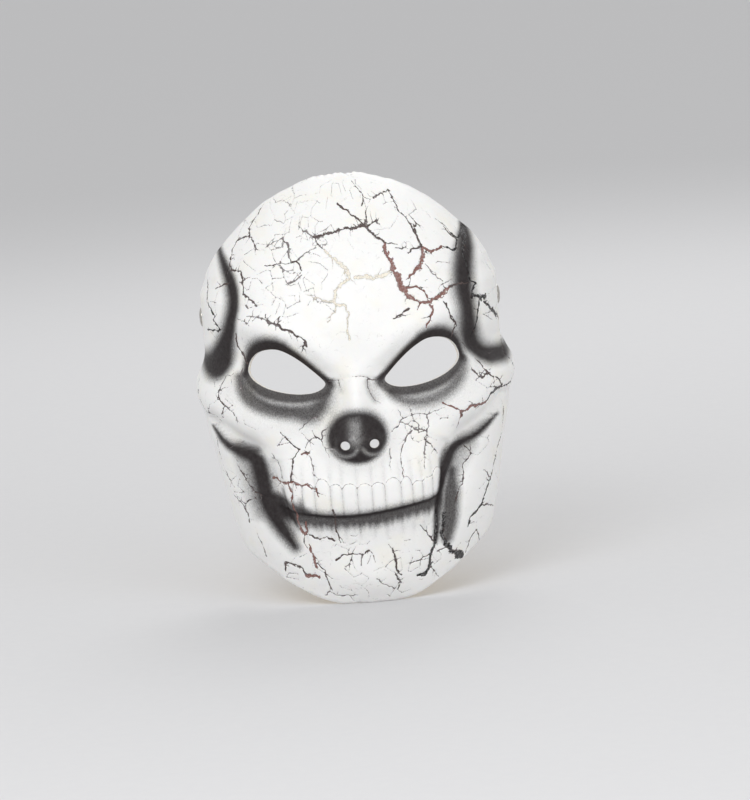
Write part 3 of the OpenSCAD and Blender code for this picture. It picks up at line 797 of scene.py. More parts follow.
def crack_lines(rng):
    """Every crack as flat points with a half width each, and its tone."""
    lines = []

    def add(points, wide, thin, tone):
        lines.append((points, np.linspace(wide, thin, len(points)), tone))

    for tone, wide, thin, route in tooth_lines() + FINE_CREASES:
        add(jagged(unrolled(route), *TOOTH_JAG, rng), wide, thin, tone)
    for tone, wide, thin, route in CRACKS:
        points = jagged(unrolled(route), *CRACK_JAG, rng)
        half = np.linspace(wide, thin, len(points)) * rng.uniform(0.6, 1.4, len(points))
        lines.append((points, half, tone))
        for _ in range(rng.poisson(len(points) / 5)):
            k = rng.integers(1, len(points) - 1)
            along = points[k + 1] - points[k - 1]
            heading = math.atan2(along[1], along[0]) + rng.choice([-1, 1]) * rng.uniform(*TWIG_TURN)
            twig = grown(points[k], heading, rng.uniform(*TWIG_LENGTH), rng)
            add(twig, min(0.24, 0.7 * max(wide, thin)), 0.05, TWIG_TONE[tone])
    for cx, cz, rx, rz, cell, shown, tone in CRAZING:
        for ends in web(cx, cz, rx, rz, cell, shown, rng):
            flat = ends * (TAB_MM_PER_DEG, 1) if abs(cx) > LAST_SEEN_X else unrolled(ends)
            half = rng.uniform(*CRAZE_HALF_WIDTH)
            add(jagged(flat, *CRAZE_JAG, rng), half, rng.uniform(0.4, 1) * half, tone)
    return lines


def crack_samples(lines):
    """Evenly spaced points on every crack: place, half width and colour."""
    places, halves, colours = [], [], []
    for points, half, tone in lines:
        p = resampled(np.column_stack([points, half]), SAMPLE_GAP)
        places.append(p[:, :2])
        halves.append(p[:, 2])
        colours.append(np.tile(CRACK_TONES[tone], (len(p), 1)))
    return np.concatenate(places), np.concatenate(halves), np.concatenate(colours)


def tree_of(points):
    """Search tree for the nearest of flat points."""
    tree = kdtree.KDTree(len(points))
    for i, (u, v) in enumerate(points):
        tree.insert((u, v, 0), i)
    tree.balance()
    return tree


def crack_paint(uv, samples):
    """Depth inside the painted cracks in millimetres, negative outside, their half width and colour."""
    places, halves, colours = samples
    tree = tree_of(places)
    depth = np.full(len(uv), FAR_OUTSIDE)
    width = np.zeros(len(uv))
    colour = np.tile(CRACK_TONES["grey"], (len(uv), 1))
    for i, (u, v) in enumerate(uv):
        for _, k, gap in tree.find_n((u, v, 0), NEIGHBOURS):
            if halves[k] - gap > depth[i]:
                depth[i] = halves[k] - gap
                width[i] = halves[k]
                colour[i] = colours[k]
    return depth, width, colour


# ----------------------------------------------------------- objects and meshes
def placed(name, data):
    """An object in the scene, made from its data."""
    made = bpy.data.objects.new(name, data)
    bpy.context.scene.collection.objects.link(made)
    return made


def smoothed(mesh):
    """Shades every face of the mesh smooth."""
    mesh.polygons.foreach_set("use_smooth", np.ones(len(mesh.polygons), bool))


def stored(mesh, **measures):
    """Keeps named numbers at each vertex, for the materials to read."""
    for name, values in measures.items():
        attribute = mesh.attributes.new(name, "FLOAT", "POINT")
        attribute.data.foreach_set("value", values.astype(np.float32))


# -------------------------------------------------------------------- skin mesh
RIVET_SETBACK = RIVET_DEPTH - FACE_DEPTH
POST_HOLE_R = 2.15
# Spacing of mesh points along the skin's edges, and in the grids that fill it
EDGE_GAP = 1.0
HOLE_GAP = 0.7
NOSTRIL_GAP = 0.5
GRID_STEPS = (0.6, 0.85, 1.2, 1.7)
GRID_REACH = 1.2
INNER_COARSER = 1.25
# Share of its grid's spacing that a point keeps from edges and crack lines
CLEARANCE = 0.62
# Places that need a finer mesh: centre x and z, radii, spacing
FINE_PLACES = [
    (0, -27, 18, 16, 0.8), (0, -60, 45, 14, 0.8), (34, 5, 26, 17, 1.0), (-34, 5, 26, 17, 1.0),
    (-50, -42, 16, 40, 1.1), (50, -42, 16, 40, 1.1), (62, 35, 9, 38, 1.2), (-62, 35, 9, 38, 1.2),
]
ROUTE_STEP = 0.6
ROUTE_CLEARANCE = 0.8
# Rings round the rounded edge by share of the thickness, how far it swells, where its paint ends
RIM_RINGS = (0.2, 0.5, 0.8)
RIM_SWELL = 0.3
RIM_PAINTED = 0.7
OVERSPRAY = 0.2
CRACK_RELIEF = 0.35
LAST_SPRAYED_DEG = 88
# Share of the airbrushed black left on the cut edges
CUT_EDGE_SOOT = 0.15


def skin_outline():
    """Flat outline of the skin, anticlockwise from the left end of the lower edge."""
    degrees = np.linspace(-LAST_DEG, LAST_DEG, 91)
    u = degrees * TAB_MM_PER_DEG
    low = curve(np.abs(degrees), LOWER_EDGE) + 0.35 * np.sin(0.21 * u + 0.5) * np.sin(0.13 * u)
    high = curve(np.abs(degrees), UPPER_EDGE) + 0.5 * np.sin(0.17 * u) * np.sin(0.31 * u + 1)
    around = list(zip(u, low)) + list(zip(u[::-1], high[::-1]))
    return loop_points(around, EDGE_GAP)


def circle(cu, cv, radius, spacing):
    t = full_turn(max(12, int(2 * math.pi * radius / spacing)))
    return np.stack([cu + radius * np.cos(t), cv + radius * np.sin(t)], -1)


def anticlockwise(loop):
    x, y = loop[:, 0], loop[:, 1]
    area = np.sum(x * np.roll(y, -1) - np.roll(x, -1) * y)
    return loop if area > 0 else loop[::-1]


def skin_holes():
    """Flat outlines of the eye holes, breathing holes and rivet holes."""
    holes = []
    for side in (-1, 1):
        eye = loop_points([(side * x, z) for x, z in EYE_OUTLINE], HOLE_GAP)
        holes.append(unrolled(eye))
        x, z, r = NOSTRIL
        holes.append(unrolled(circle(side * x, z, r, NOSTRIL_GAP)))
        rivet_u = side * (90 * TAB_MM_PER_DEG + RIVET_SETBACK)
        holes.append(circle(rivet_u, RIVET_RISE, POST_HOLE_R, HOLE_GAP))
    return [anticlockwise(h) for h in holes]


def in_skin(points, outline, holes):
    """Which flat points lie on the skin, off its holes."""
    keep = inside(points, outline)
    for hole in holes:
        near = np.all((points > hole.min(0) - 1) & (points < hole.max(0) + 1), axis=1)
        keep[near] &= ~inside(points[near], hole)
    return keep


def wanted_gap(points, crack_tree):
    """Spacing of mesh points wanted at each place: finest along cracks, fine on nose and teeth."""
    u, v = points[:, 0], points[:, 1]
    gap = np.full(len(points), GRID_STEPS[-1])
    x = face(u / TAB_MM_PER_DEG, v)[:, 0]
    for cx, cz, rx, rz, fine in FINE_PLACES:
        r = np.hypot((x - cx) / rx, (v - cz) / rz)
        gap = np.minimum(gap, fine + (GRID_STEPS[-1] - fine) * ease(r, 0.95, 1.25))
    if crack_tree:
        away = np.array([crack_tree.find((a, b, 0))[2] for a, b in points])
        gap = np.minimum(gap, GRID_STEPS[0] + 0.4 * np.maximum(away - 0.7, 0))
    return gap


def graded_points(outline, holes, crack_tree, scale):
    """Points in hexagonal grids of four spacings, each where it is wanted."""
    lo, hi = outline.min(0), outline.max(0)
    found = []
    for step in GRID_STEPS:
        d = step * scale
        rows = np.arange(lo[1], hi[1], d * math.sqrt(0.75))
        cols = np.arange(lo[0], hi[0], d)
        uu, vv = np.meshgrid(cols, rows)
        uu = uu + (np.arange(len(rows)) % 2)[:, None] * d / 2
        p = np.stack([uu.ravel(), vv.ravel()], -1)
        p = p[in_skin(p, outline, holes)]
        wanted = wanted_gap(p, crack_tree)
        lower = step / GRID_REACH if step > GRID_STEPS[0] else 0
        upper = step * GRID_REACH if step < GRID_STEPS[-1] else math.inf
        p = p[(wanted >= lower) & (wanted < upper)]
        found.append(np.column_stack([p, np.full(len(p), d)]))
    return np.concatenate(found)


def clear_of(points, fixed):
    """The points that keep their distance from the fixed ones."""
    tree = tree_of(fixed)
    far = np.array([tree.find((u, v, 0))[2] for u, v in points[:, :2]])
    return points[far > CLEARANCE * points[:, 2], :2]


def triangulated(loops, routes, free):
    """Triangles of the sheet: all its points, the triangles, and each loop's point numbers."""
    points, edges, loop_ids = [], [], []
    for loop in loops:
        first = len(points)
        ids = list(range(first, first + len(loop)))
        points += [tuple(q) for q in loop]
        edges += list(zip(ids, ids[1:] + ids[:1]))
        loop_ids.append(ids)
    for route in routes:
        first = len(points)
        points += [tuple(q) for q in route]
        edges += [(first + k, first + k + 1) for k in range(len(route) - 1)]
    points += [tuple(q) for q in free]
    out, _, faces, origins, _, _ = delaunay_2d_cdt([Vector(q) for q in points], edges, [], 0, MERGE_GAP)
    place = {}
    for k, source in enumerate(origins):
        for s in source:
            place[s] = k
    uv = np.array([(q[0], q[1]) for q in out])
    faces = np.array(faces)
    keep = in_skin(uv[faces].mean(1), loops[0], loops[1:])
    return uv, faces[keep], [[place[i] for i in ids] for ids in loop_ids]


def clipped_routes(lines, outline, holes):
    """Centre lines of the cracks as mesh edges, kept clear of the skin's edges."""
    edge_tree = tree_of(np.concatenate([outline] + holes))
    parts = [resampled(points, ROUTE_STEP) for points, _, _ in lines]
    every = np.concatenate(parts)
    clear = in_skin(every, outline, holes)
    clear &= np.array([edge_tree.find((u, v, 0))[2] > ROUTE_CLEARANCE for u, v in every])
    routes, first = [], 0
    for part in parts:
        run = []
        for q, good in zip(part, clear[first:first + len(part)]):
            if good:
                run.append(q)
            elif run:
                routes.append(run)
                run = []
        if run:
            routes.append(run)
        first += len(part)
    return [r for r in routes if len(r) > 1]


def away_from_skin(loop, outer):
    """Unit vectors in the flat sheet that point off the skin at each loop point."""
    along = np.roll(loop, -1, axis=0) - np.roll(loop, 1, axis=0)
    along /= np.linalg.norm(along, axis=1, keepdims=True)
    right = np.stack([along[:, 1], -along[:, 0]], -1)
    return right if outer else -right


def sheet(loops, routes, crack_tree, scale):
    """One face of the skin, with mesh edges along its outlines and along the given routes."""
    fixed = np.concatenate(loops + [np.array(r) for r in routes])
    free = clear_of(graded_points(loops[0], loops[1:], crack_tree, scale), fixed)
    return triangulated(loops, routes, free)


def rim(loops, rims, first_inner, rims_in, count):
    """Rounded edge round each loop, from the outer face to the inner one."""
    flat, points, coat, polygons = [], [], [], []
    for k, loop in enumerate(loops):
        away = away_from_skin(loop, k == 0)
        rings = [np.array(rims[k])]
        for share in RIM_RINGS:
            swell = RIM_SWELL * math.sqrt(1 - (2 * share - 1) ** 2)
            flat.append(loop + away * swell)
            points.append(skin_point(flat[-1], SKIN_T * share))
            coat.append(np.full(len(loop), 1.0 if share < RIM_PAINTED else OVERSPRAY))
            rings.append(np.arange(count, count + len(loop)))
            count += len(loop)
        rings.append(first_inner + np.array(rims_in[k]))
        for a, b in zip(rings, rings[1:]):
            quads = np.stack([a, b, np.roll(b, -1), np.roll(a, -1)], -1)
            polygons += [tuple(q) for q in (quads if k == 0 else quads[:, ::-1])]
    return flat, points, coat, polygons


def paint_skin(mesh, flat, coat, first_rim, depth, width, colour):
    """Stores what the material reads at each vertex: the airbrush's black with the painted shade and
    highlights, coat, cracks and gloss.
    """
    x, z = face(flat[:, 0] / TAB_MM_PER_DEG, flat[:, 1])[:, 0], flat[:, 1]
    soot = shadows(x, z) * (np.abs(flat[:, 0]) < LAST_SPRAYED_DEG * TAB_MM_PER_DEG)
    soot[first_rim:] *= CUT_EDGE_SOOT
    cracks, widths = np.full(len(flat), FAR_OUTSIDE), np.zeros(len(flat))
    cracks[:len(depth)] = depth
    widths[:len(depth)] = width
    colours = np.ones((len(flat), 4))
    colours[:len(depth), :3] = colour
    r = np.hypot(x / NOSE_SHADOW[2], (z - NOSE_SHADOW[1]) / NOSE_SHADOW[3])
    gloss = 1 - ease(r, 0.8, 1.05)
    stored(mesh, soot=soot, painted=coat, crack=cracks, crack_width=widths, gloss=gloss)
    attribute = mesh.attributes.new("crack_colour", "FLOAT_COLOR", "POINT")
    attribute.data.foreach_set("color", colours.astype(np.float32).ravel())


def make_skin():
    """The moulded skin as one closed mesh: outer face, inner face and rounded edges."""
    lines = crack_lines(np.random.default_rng(CRACK_SEED))
    samples = crack_samples(lines)
    outline, holes = skin_outline(), skin_holes()
    loops = [outline] + holes
    routes = clipped_routes(lines, outline, holes)
    uv, faces, rims = sheet(loops, routes, tree_of(samples[0]), 1)
    uv_in, faces_in, rims_in = sheet(loops, [], None, INNER_COARSER)

    depth, width, colour = crack_paint(uv, samples)
    outer = skin_point(uv, CRACK_RELIEF * ease(depth, -0.3, 0.5))
    inner = skin_point(uv_in, SKIN_T)
    first_rim = len(uv) + len(uv_in)
    flat, points, coat, quads = rim(loops, rims, len(uv), rims_in, first_rim)
    polygons = [tuple(f) for f in faces] + [tuple(len(uv) + f[::-1]) for f in faces_in] + quads
    flat = np.concatenate([uv, uv_in] + flat)
    coat = np.concatenate([np.ones(len(uv)), np.zeros(len(uv_in))] + coat)

    mesh = bpy.data.meshes.new("latex_mask")
    place = (np.concatenate([outer, inner] + points) + ORIGIN_SHIFT) * MM
    mesh.from_pydata(place.tolist(), [], polygons)
    paint_skin(mesh, flat, coat, first_rim, depth, width, colour)
    smoothed(mesh)
    return placed("latex_mask", mesh)


# ------------------------------------------------------------- small hard parts
SIDES = (("left", -1), ("right", 1))
SIDE_STEPS = 72
TAB_IN = TAB_HALF_W - SKIN_T


def ring_quads(rings, n, closed=False):
    """Faces between rings of n points each, which are numbered one ring after another."""
    pairs = list(zip(range(rings), range(1, rings)))
    if closed:
        pairs.append((rings - 1, 0))
    return [(a * n + k, b * n + k, b * n + (k + 1) % n, a * n + (k + 1) % n)
            for a, b in pairs for k in range(n)]


def lofted(name, side, rings, closed):
    """Surface through rings of (radius at each step, distance out), turned about the rivet axis."""
    t = full_turn(SIDE_STEPS)
    points = []
    for radius, out in rings:
        r = np.broadcast_to(radius, t.shape)
        x = np.broadcast_to(out, t.shape)
        points.append(np.stack([side * x, r * np.cos(t), r * np.sin(t)], -1))
    n = SIDE_STEPS
    polygons = [quad[::side] for quad in ring_quads(len(rings), n, closed)]
    if not closed:
        polygons.append(tuple(range(n))[::side])
        polygons.append(tuple(range((len(rings) - 1) * n, len(rings) * n))[::-side])
    return mesh_object(name, np.concatenate(points), polygons)


def mesh_object(name, points, polygons):
    """A smooth-shaded object from points in millimetres."""
    mesh = bpy.data.meshes.new(name)
    mesh.from_pydata((np.asarray(points) * MM).tolist(), [], polygons)
    mesh.validate()
    smoothed(mesh)
    return placed(name, mesh)


def recalculated(piece):
    """Turns the piece's faces outward."""
    bm = bmesh.new()
    bm.from_mesh(piece.data)
    bmesh.ops.recalc_face_normals(bm, faces=bm.faces)
    bm.to_mesh(piece.data)
    bm.free()


def sharpened(piece, degrees=32):
    """Turns the piece's faces outward and keeps its hard edges crisp under smooth shading."""
    bm = bmesh.new()
    bm.from_mesh(piece.data)
    bmesh.ops.recalc_face_normals(bm, faces=bm.faces)
    for e in bm.edges:
        e.smooth = len(e.link_faces) != 2 or e.calc_face_angle(0) < math.radians(degrees)
    bm.to_mesh(piece.data)
    bm.free()
    return piece


POST_R = 2.0
HEAD_R = 4.8
HEAD_H = 1.6
CAP_R = 4.2
CAP_H = 1.5
WASHER_R = 5.2
# The stack on each rivet, from the tab inwards
BOND_T = 0.05
PATCH_T = 1.2
STRAP_T = 1.2
WASHER_T = 0.6
SIDE_GAP = 0.2
PATCH_OUT = TAB_IN - BOND_T
PATCH_IN = PATCH_OUT - PATCH_T
STRAP_OUT = PATCH_IN - SIDE_GAP
STRAP_IN = STRAP_OUT - STRAP_T
WASHER_OUT = STRAP_IN - SIDE_GAP
WASHER_IN = WASHER_OUT - WASHER_T
POST_PROUD = 0.8
POST_END = WASHER_IN - POST_PROUD


def make_rivet(word, side):
    """Domed head with a rolled rim and a shallow set mark, and the post through the stack."""
    foot = TAB_HALF_W
    rim = [(HEAD_R - 0.25, foot + 0.02), (HEAD_R, foot + 0.22), (HEAD_R, foot + 0.4),
           (HEAD_R - 0.12, foot + 0.6)]
    dome = [(HEAD_R * math.cos(t) * 0.97, foot + 0.45 + (HEAD_H - 0.45) * math.sin(t))
            for t in np.radians([18, 28, 38, 48, 58, 68, 76])]
    mark = [(1.0, foot + HEAD_H - 0.03), (0.8, foot + HEAD_H - 0.12), (0.25, foot + HEAD_H - 0.16)]
    post = [(0.3, POST_END), (POST_R - 0.3, POST_END), (POST_R, POST_END + 0.3), (POST_R, foot - 0.1),
            (POST_R + 0.12, foot + 0.02)]
    return sharpened(lofted("nickel_rivet_" + word, side, post + rim + dome + mark, False))


def make_washer(word, side):
    """Flat ring with slightly broken edges."""
    soft = 0.12
    bore = POST_R + 0.1
    ring = [(bore, WASHER_IN + soft), (bore, WASHER_OUT - soft), (bore + soft, WASHER_OUT),
            (WASHER_R - soft, WASHER_OUT), (WASHER_R, WASHER_OUT - soft), (WASHER_R, WASHER_IN + soft),
            (WASHER_R - soft, WASHER_IN), (bore + soft, WASHER_IN)]
    return sharpened(lofted("nickel_washer_" + word, side, ring, True))


def make_cap(word, side):
    """Pressed cap with a rolled rim that closes over the end of the post."""
    rim = [(POST_R + 0.02, POST_END + 0.02), (POST_R + 0.02, WASHER_IN), (CAP_R - 0.25, WASHER_IN),
           (CAP_R, WASHER_IN - 0.2), (CAP_R, WASHER_IN - 0.4), (CAP_R - 0.12, WASHER_IN - 0.55)]
    dome = [(0.96 * CAP_R * math.cos(t), WASHER_IN - 0.45 - (CAP_H - 0.45) * math.sin(t))
            for t in np.radians([15, 26, 38, 50, 62, 74])]
    crown = [(0.6, WASHER_IN - CAP_H), (0.1, WASHER_IN - CAP_H)]
    inner = [(0.1, POST_END + 0.02)]
    return sharpened(lofted("nickel_cap_" + word, side, rim + dome + crown + inner, True))


# ------------------------------------------------------------- glued reinforcement
PATCH_LENGTH = 18.0
PATCH_HEIGHT = 17.0
PATCH_CORNER = 5.0


def patch_radius(t):
    """Distance from the rivet to the edge of the rounded patch, by direction."""
    ax, az = PATCH_LENGTH / 2 - PATCH_CORNER, PATCH_HEIGHT / 2 - PATCH_CORNER
    c, s = np.abs(np.cos(t)), np.abs(np.sin(t))
    side = np.minimum(PATCH_LENGTH / 2 / np.maximum(c, 1e-6), PATCH_HEIGHT / 2 / np.maximum(s, 1e-6))
    along = ax * c + az * s
    round_end = along + np.sqrt(np.maximum(along**2 - ax**2 - az**2 + PATCH_CORNER**2, 0))
    at_corner = (side * c > ax) & (side * s > az)
    return np.where(at_corner, round_end, side)


def make_patch(word, side):
    """Square of latex sheet with a soft, slightly uneven edge, holed for the post."""
    t = full_turn(SIDE_STEPS)
    edge = patch_radius(t) - 0.12 * (1 + np.sin(3 * t + side) * np.sin(5 * t))
    bore = POST_R + 0.08
    swell = 0.05 * np.sin(2 * t + 1) * np.sin(3 * t)
    rings = [(bore, PATCH_IN + 0.15), (bore, PATCH_OUT - 0.1), (bore + 0.15, PATCH_OUT)]
    rings += [(bore + (edge - bore) * k, PATCH_OUT) for k in (0.35, 0.65, 0.9)]
    rings += [(edge - 0.3, PATCH_OUT), (edge - 0.05, PATCH_OUT - 0.25), (edge, PATCH_OUT - 0.55),
              (edge - 0.1, PATCH_IN + 0.3), (edge - 0.4, PATCH_IN + 0.08)]
    rings += [(bore + (edge - bore) * k, PATCH_IN + 0.05 + swell * k) for k in (0.88, 0.7, 0.5, 0.3)]
    rings += [(bore + 0.2, PATCH_IN + 0.02)]
    return lofted("glued_patch_" + word, side, rings, True)


# ------------------------------------------------------------------ elastic strap
STRAP_W = 14.0
STRAP_RUN = 36.0
STRAP_BOW = 46.0
STRAP_RIBS = 9
RIB_DEPTH = 0.16
STRAP_STEP = 0.9
STITCH_HEIGHT = 0.03
PICK_PITCH = 1.7


def strap_path():
    """Middle line of the band seen from above, and its outward direction, end to end."""
    w = (STRAP_IN + STRAP_OUT) / 2
    tail = -STRAP_W / 2
    turn = np.radians(np.linspace(0, 180, 181))
    back = np.stack([w * np.cos(turn), STRAP_RUN + STRAP_BOW * np.sin(turn)], -1)
    route = np.concatenate([[(w, tail)], back, [(-w, tail)]])
    p = resampled(route, STRAP_STEP)
    along = np.gradient(p, axis=0)
    along /= np.linalg.norm(along, axis=1, keepdims=True)
    return p, np.stack([along[:, 1], -along[:, 0]], -1)


def strap_section():
    """Places across the width from -1 to 1, and half the thickness there, ribbed."""
    z = np.linspace(-1, 1, 4 * STRAP_RIBS + 1)
    rib = np.abs(np.sin(STRAP_RIBS * math.pi * (z + 1) / 2))
    selvedge = np.sqrt(np.maximum(1 - np.abs(z) ** 14, 0.05))
    return z, (STRAP_T / 2 - RIB_DEPTH * (1 - rib)) * selvedge


def make_strap():
    """Flat braided elastic, one band from rivet to rivet, with rounded and punched ends."""
    route, outward = strap_path()
    z, half = strap_section()
    y = route[:, 1]
    end = np.sqrt(np.clip(1 - np.minimum(y, 0) ** 2 / (STRAP_W / 2) ** 2, 0.004, 1))
    points, around = [], 2 * len(z)
    for k, (p, out) in enumerate(zip(route, outward)):
        stitch = STITCH_HEIGHT * math.sin(k * 2.1) * (0.5 - 0.5 * np.cos(math.pi * z * STRAP_RIBS))
        thick = np.maximum(half * min(1, 0.4 + end[k]) + stitch, 0.05)
        width = z * STRAP_W / 2 * end[k]
        outer = np.column_stack([p[0] + out[0] * thick, p[1] + out[1] * thick, width])
        inner = np.column_stack([p[0] - out[0] * thick, p[1] - out[1] * thick, width])[::-1]
        points.append(np.concatenate([outer, inner]))
    polygons = ring_quads(len(route), around)
    last = (len(route) - 1) * around
    polygons.append(tuple(range(around))[::-1])
    polygons.append(tuple(last + j for j in range(around)))
    strap = mesh_object("elastic_strap", np.concatenate(points), polygons)
    recalculated(strap)
    for _, side in SIDES:
        punched(strap, side)
    counted(strap, route)
    smoothed(strap.data)
    return sharpened(strap, 50)


def counted(strap, route):
    """Stores millimetres along the band and ribs across it, which its weave follows."""
    points = np.empty(3 * len(strap.data.vertices), np.float32)
    strap.data.vertices.foreach_get("co", points)
    x, y, z = points.reshape(-1, 3).T / MM
    along = along_line(x, y, route)[1] * runs(route)[-1]
    stored(strap.data, along=along, across=(z / STRAP_W + 0.5) * STRAP_RIBS)


def punched(strap, side):
    """Cuts the hole for the post through one end of the band."""
    bore = POST_R + 0.05
    punch = lofted("punch", side, [(bore, STRAP_IN - 2), (bore, STRAP_OUT + 0.9)], False)
    recalculated(punch)
    cut = strap.modifiers.new("cut", "BOOLEAN")
    cut.operation = "DIFFERENCE"
    cut.solver = "EXACT"
    cut.object = punch
    graph = bpy.context.evaluated_depsgraph_get()
    mesh = bpy.data.meshes.new_from_object(strap.evaluated_get(graph))
    strap.modifiers.clear()
    strap.data = mesh
    mesh.name = "elastic_strap"
    bpy.data.objects.remove(punch)


# ------------------------------------------------------------- camera and studio
# The camera looks a little down at the middle between the eyes, tilted as the face is
EYE_LEVEL = Vector((0, -RIVET_DEPTH, -RIVET_RISE)) * MM
CAMERA_DISTANCE = 2.4
CAMERA_DOWN = math.radians(8)
CAMERA_ROLL = math.radians(4.5)
VIEW_HEIGHT = 0.392
LONG_SIDE = 36.0
# How far the middle between the eyes stands left of and above the picture's centre
OFF_CENTRE = (0.0098, 0.0091)
LIT_MIDDLE = (0, -0.05, -0.04)
SKY_STRENGTH = 0.72
FLOOR_HALF = 12.0
FLOOR_TONE = srgb(0.84, 0.84, 0.845)
FLOOR_TONE_2 = srgb(0.836, 0.836, 0.842)


def make_camera():
    """Camera in front of the eyes, turned about its own line of sight."""
    ahead = Vector((0, math.cos(CAMERA_DOWN), -math.sin(CAMERA_DOWN)))
    level_up = Vector((0, math.sin(CAMERA_DOWN), math.cos(CAMERA_DOWN)))
    c, s = math.cos(CAMERA_ROLL), math.sin(CAMERA_ROLL)
    right = Vector((c, 0, 0)) - s * level_up
    up = Vector((s, 0, 0)) + c * level_up
    aim = EYE_LEVEL + right * OFF_CENTRE[0] - up * OFF_CENTRE[1]
    data = bpy.data.cameras.new("camera")
    data.sensor_width = LONG_SIDE
    data.lens = LONG_SIDE * CAMERA_DISTANCE / VIEW_HEIGHT
    data.clip_start, data.clip_end = 0.05, 50
    camera = placed("camera", data)
    turn = Matrix((right, up, -ahead)).transposed().to_4x4()
    camera.matrix_world = Matrix.Translation(aim - ahead * CAMERA_DISTANCE) @ turn
    bpy.context.scene.camera = camera


def area_light(name, place, size, power):
    """Round soft light aimed at the middle of the mask."""
    data = bpy.data.lights.new(name, "AREA")
    data.shape = "DISK"
    data.size = size
    data.energy = power
    light = placed(name, data)
    light.location = place
    light.rotation_euler = (Vector(LIT_MIDDLE) - Vector(place)).to_track_quat("-Z", "Y").to_euler()


def make_studio():
    """Even, soft light from the front and above, over a pale floor."""
    world = bpy.data.worlds.new("studio")
    world.use_nodes = True
    background = world.node_tree.nodes["Background"]
    background.inputs["Color"].default_value = (1, 1, 1, 1)
    background.inputs["Strength"].default_value = SKY_STRENGTH
    bpy.context.scene.world = world
    area_light("key", (-0.5, -1.3, 0.9), 0.9, 8)
    area_light("fill", (0.8, -1.2, 0.3), 0.9, 3)
    area_light("back", (0.2, 1.2, 1.0), 0.9, 5)
    bpy.context.scene.view_settings.view_transform = "Standard"

    low = CAD_BOX[0].z
    mesh = bpy.data.meshes.new("floor")
    corners = [(x * FLOOR_HALF, y * FLOOR_HALF, low) for x, y in ((-1, -1), (1, -1), (1, 1), (-1, 1))]
    mesh.from_pydata(corners, [], [(0, 1, 2, 3)])
    floor = placed("floor", mesh)
    floor.data.materials.append(floor_material())


# -------------------------------------------------------------------- materials
class Shader:
    """Short way to write a node tree for one material."""

    def __init__(self, name):
        self.material = bpy.data.materials.new(name)
        self.material.use_nodes = True
        self.tree = self.material.node_tree
        self.bsdf = self.tree.nodes["Principled BSDF"]
        self.place = self.node("ShaderNodeTexCoord").outputs["Object"]

    def node(self, kind, **settings):
        made = self.tree.nodes.new(kind)
        for key, value in settings.items():
            setattr(made, key, value)
        return made

    def put(self, socket, value):
        if isinstance(value, bpy.types.NodeSocket):
            self.tree.links.new(value, socket)
        else:
            socket.default_value = value

    def attribute(self, name, output="Fac"):
        return self.node("ShaderNodeAttribute", attribute_name=name).outputs[output]

    def math(self, operation, a, b=0.0, clamp=False):
        n = self.node("ShaderNodeMath", operation=operation, use_clamp=clamp)
        self.put(n.inputs[0], a)
        self.put(n.inputs[1], b)
        return n.outputs[0]

    def plus(self, a, b):
        return self.math("ADD", a, b)

    def times(self, a, b):
        return self.math("MULTIPLY", a, b)

    def scaled(self, value, lo, hi, to_lo=0.0, to_hi=1.0, smooth=True):
        """A value spread from lo and hi to two others."""
        n = self.node("ShaderNodeMapRange", interpolation_type="SMOOTHSTEP" if smooth else "LINEAR")
        for socket, v in zip(n.inputs, (value, lo, hi, to_lo, to_hi)):
            self.put(socket, v)
        return n.outputs[0]

    def mix(self, share, a, b):
        n = self.node("ShaderNodeMix", data_type="RGBA")
        self.put(n.inputs["Factor"], share)
        self.put(n.inputs[6], (*a, 1) if isinstance(a, tuple) else a)
        self.put(n.inputs[7], (*b, 1) if isinstance(b, tuple) else b)
        return n.outputs[2]

    def noise(self, grain_mm, detail=3.0, rough=0.5, stretch=None, output="Fac"):
        """Noise with grains of a given size, centred on 0.5."""
        n = self.node("ShaderNodeTexNoise")
        place = self.place
        if stretch:
            m = self.node("ShaderNodeMapping")
            self.put(m.inputs["Vector"], place)
            m.inputs["Scale"].default_value = stretch
            place = m.outputs[0]
        self.put(n.inputs["Vector"], place)
        n.inputs["Scale"].default_value = 1000.0 / grain_mm
        n.inputs["Detail"].default_value = detail
        n.inputs["Roughness"].default_value = rough
        return n.outputs[output]

    def cells(self, size_mm, output="Distance", feature="F1", place=None):
        """Cells of a given size."""
        n = self.node("ShaderNodeTexVoronoi", feature=feature)
        self.put(n.inputs["Vector"], place or self.place)
        n.inputs["Scale"].default_value = 1000.0 / size_mm
        return n.outputs[output]

    def bump(self, height, depth_mm):
        """One more layer of relief, over those already there."""
        n = self.node("ShaderNodeBump")
        n.inputs["Distance"].default_value = depth_mm * MM
        n.inputs["Strength"].default_value = 1.0
        self.put(n.inputs["Height"], height)
        if self.bsdf.inputs["Normal"].is_linked:
            before = self.bsdf.inputs["Normal"].links[0].from_socket
            self.put(n.inputs["Normal"], before)
        self.put(self.bsdf.inputs["Normal"], n.outputs[0])

    def set(self, **values):
        for name, value in values.items():
            socket = self.bsdf.inputs[name.replace("_", " ")]
            is_colour = socket.type == "RGBA" and isinstance(value, tuple)
            self.put(socket, (*value, 1) if is_colour else value)


WHITE_PAINT = srgb(0.955, 0.955, 0.95)
WORN_WHITE = srgb(0.90, 0.90, 0.905)
CREAM_PAINT = srgb(0.955, 0.95, 0.925)
# Black of the airbrush, also the colour of the painted shade between the teeth
BLACK_PAINT_AND_PAINTED_SHADE = srgb(0.135, 0.108, 0.112)
BARE_LATEX = srgb(0.89, 0.825, 0.68)
DARK_LATEX = srgb(0.845, 0.765, 0.60)


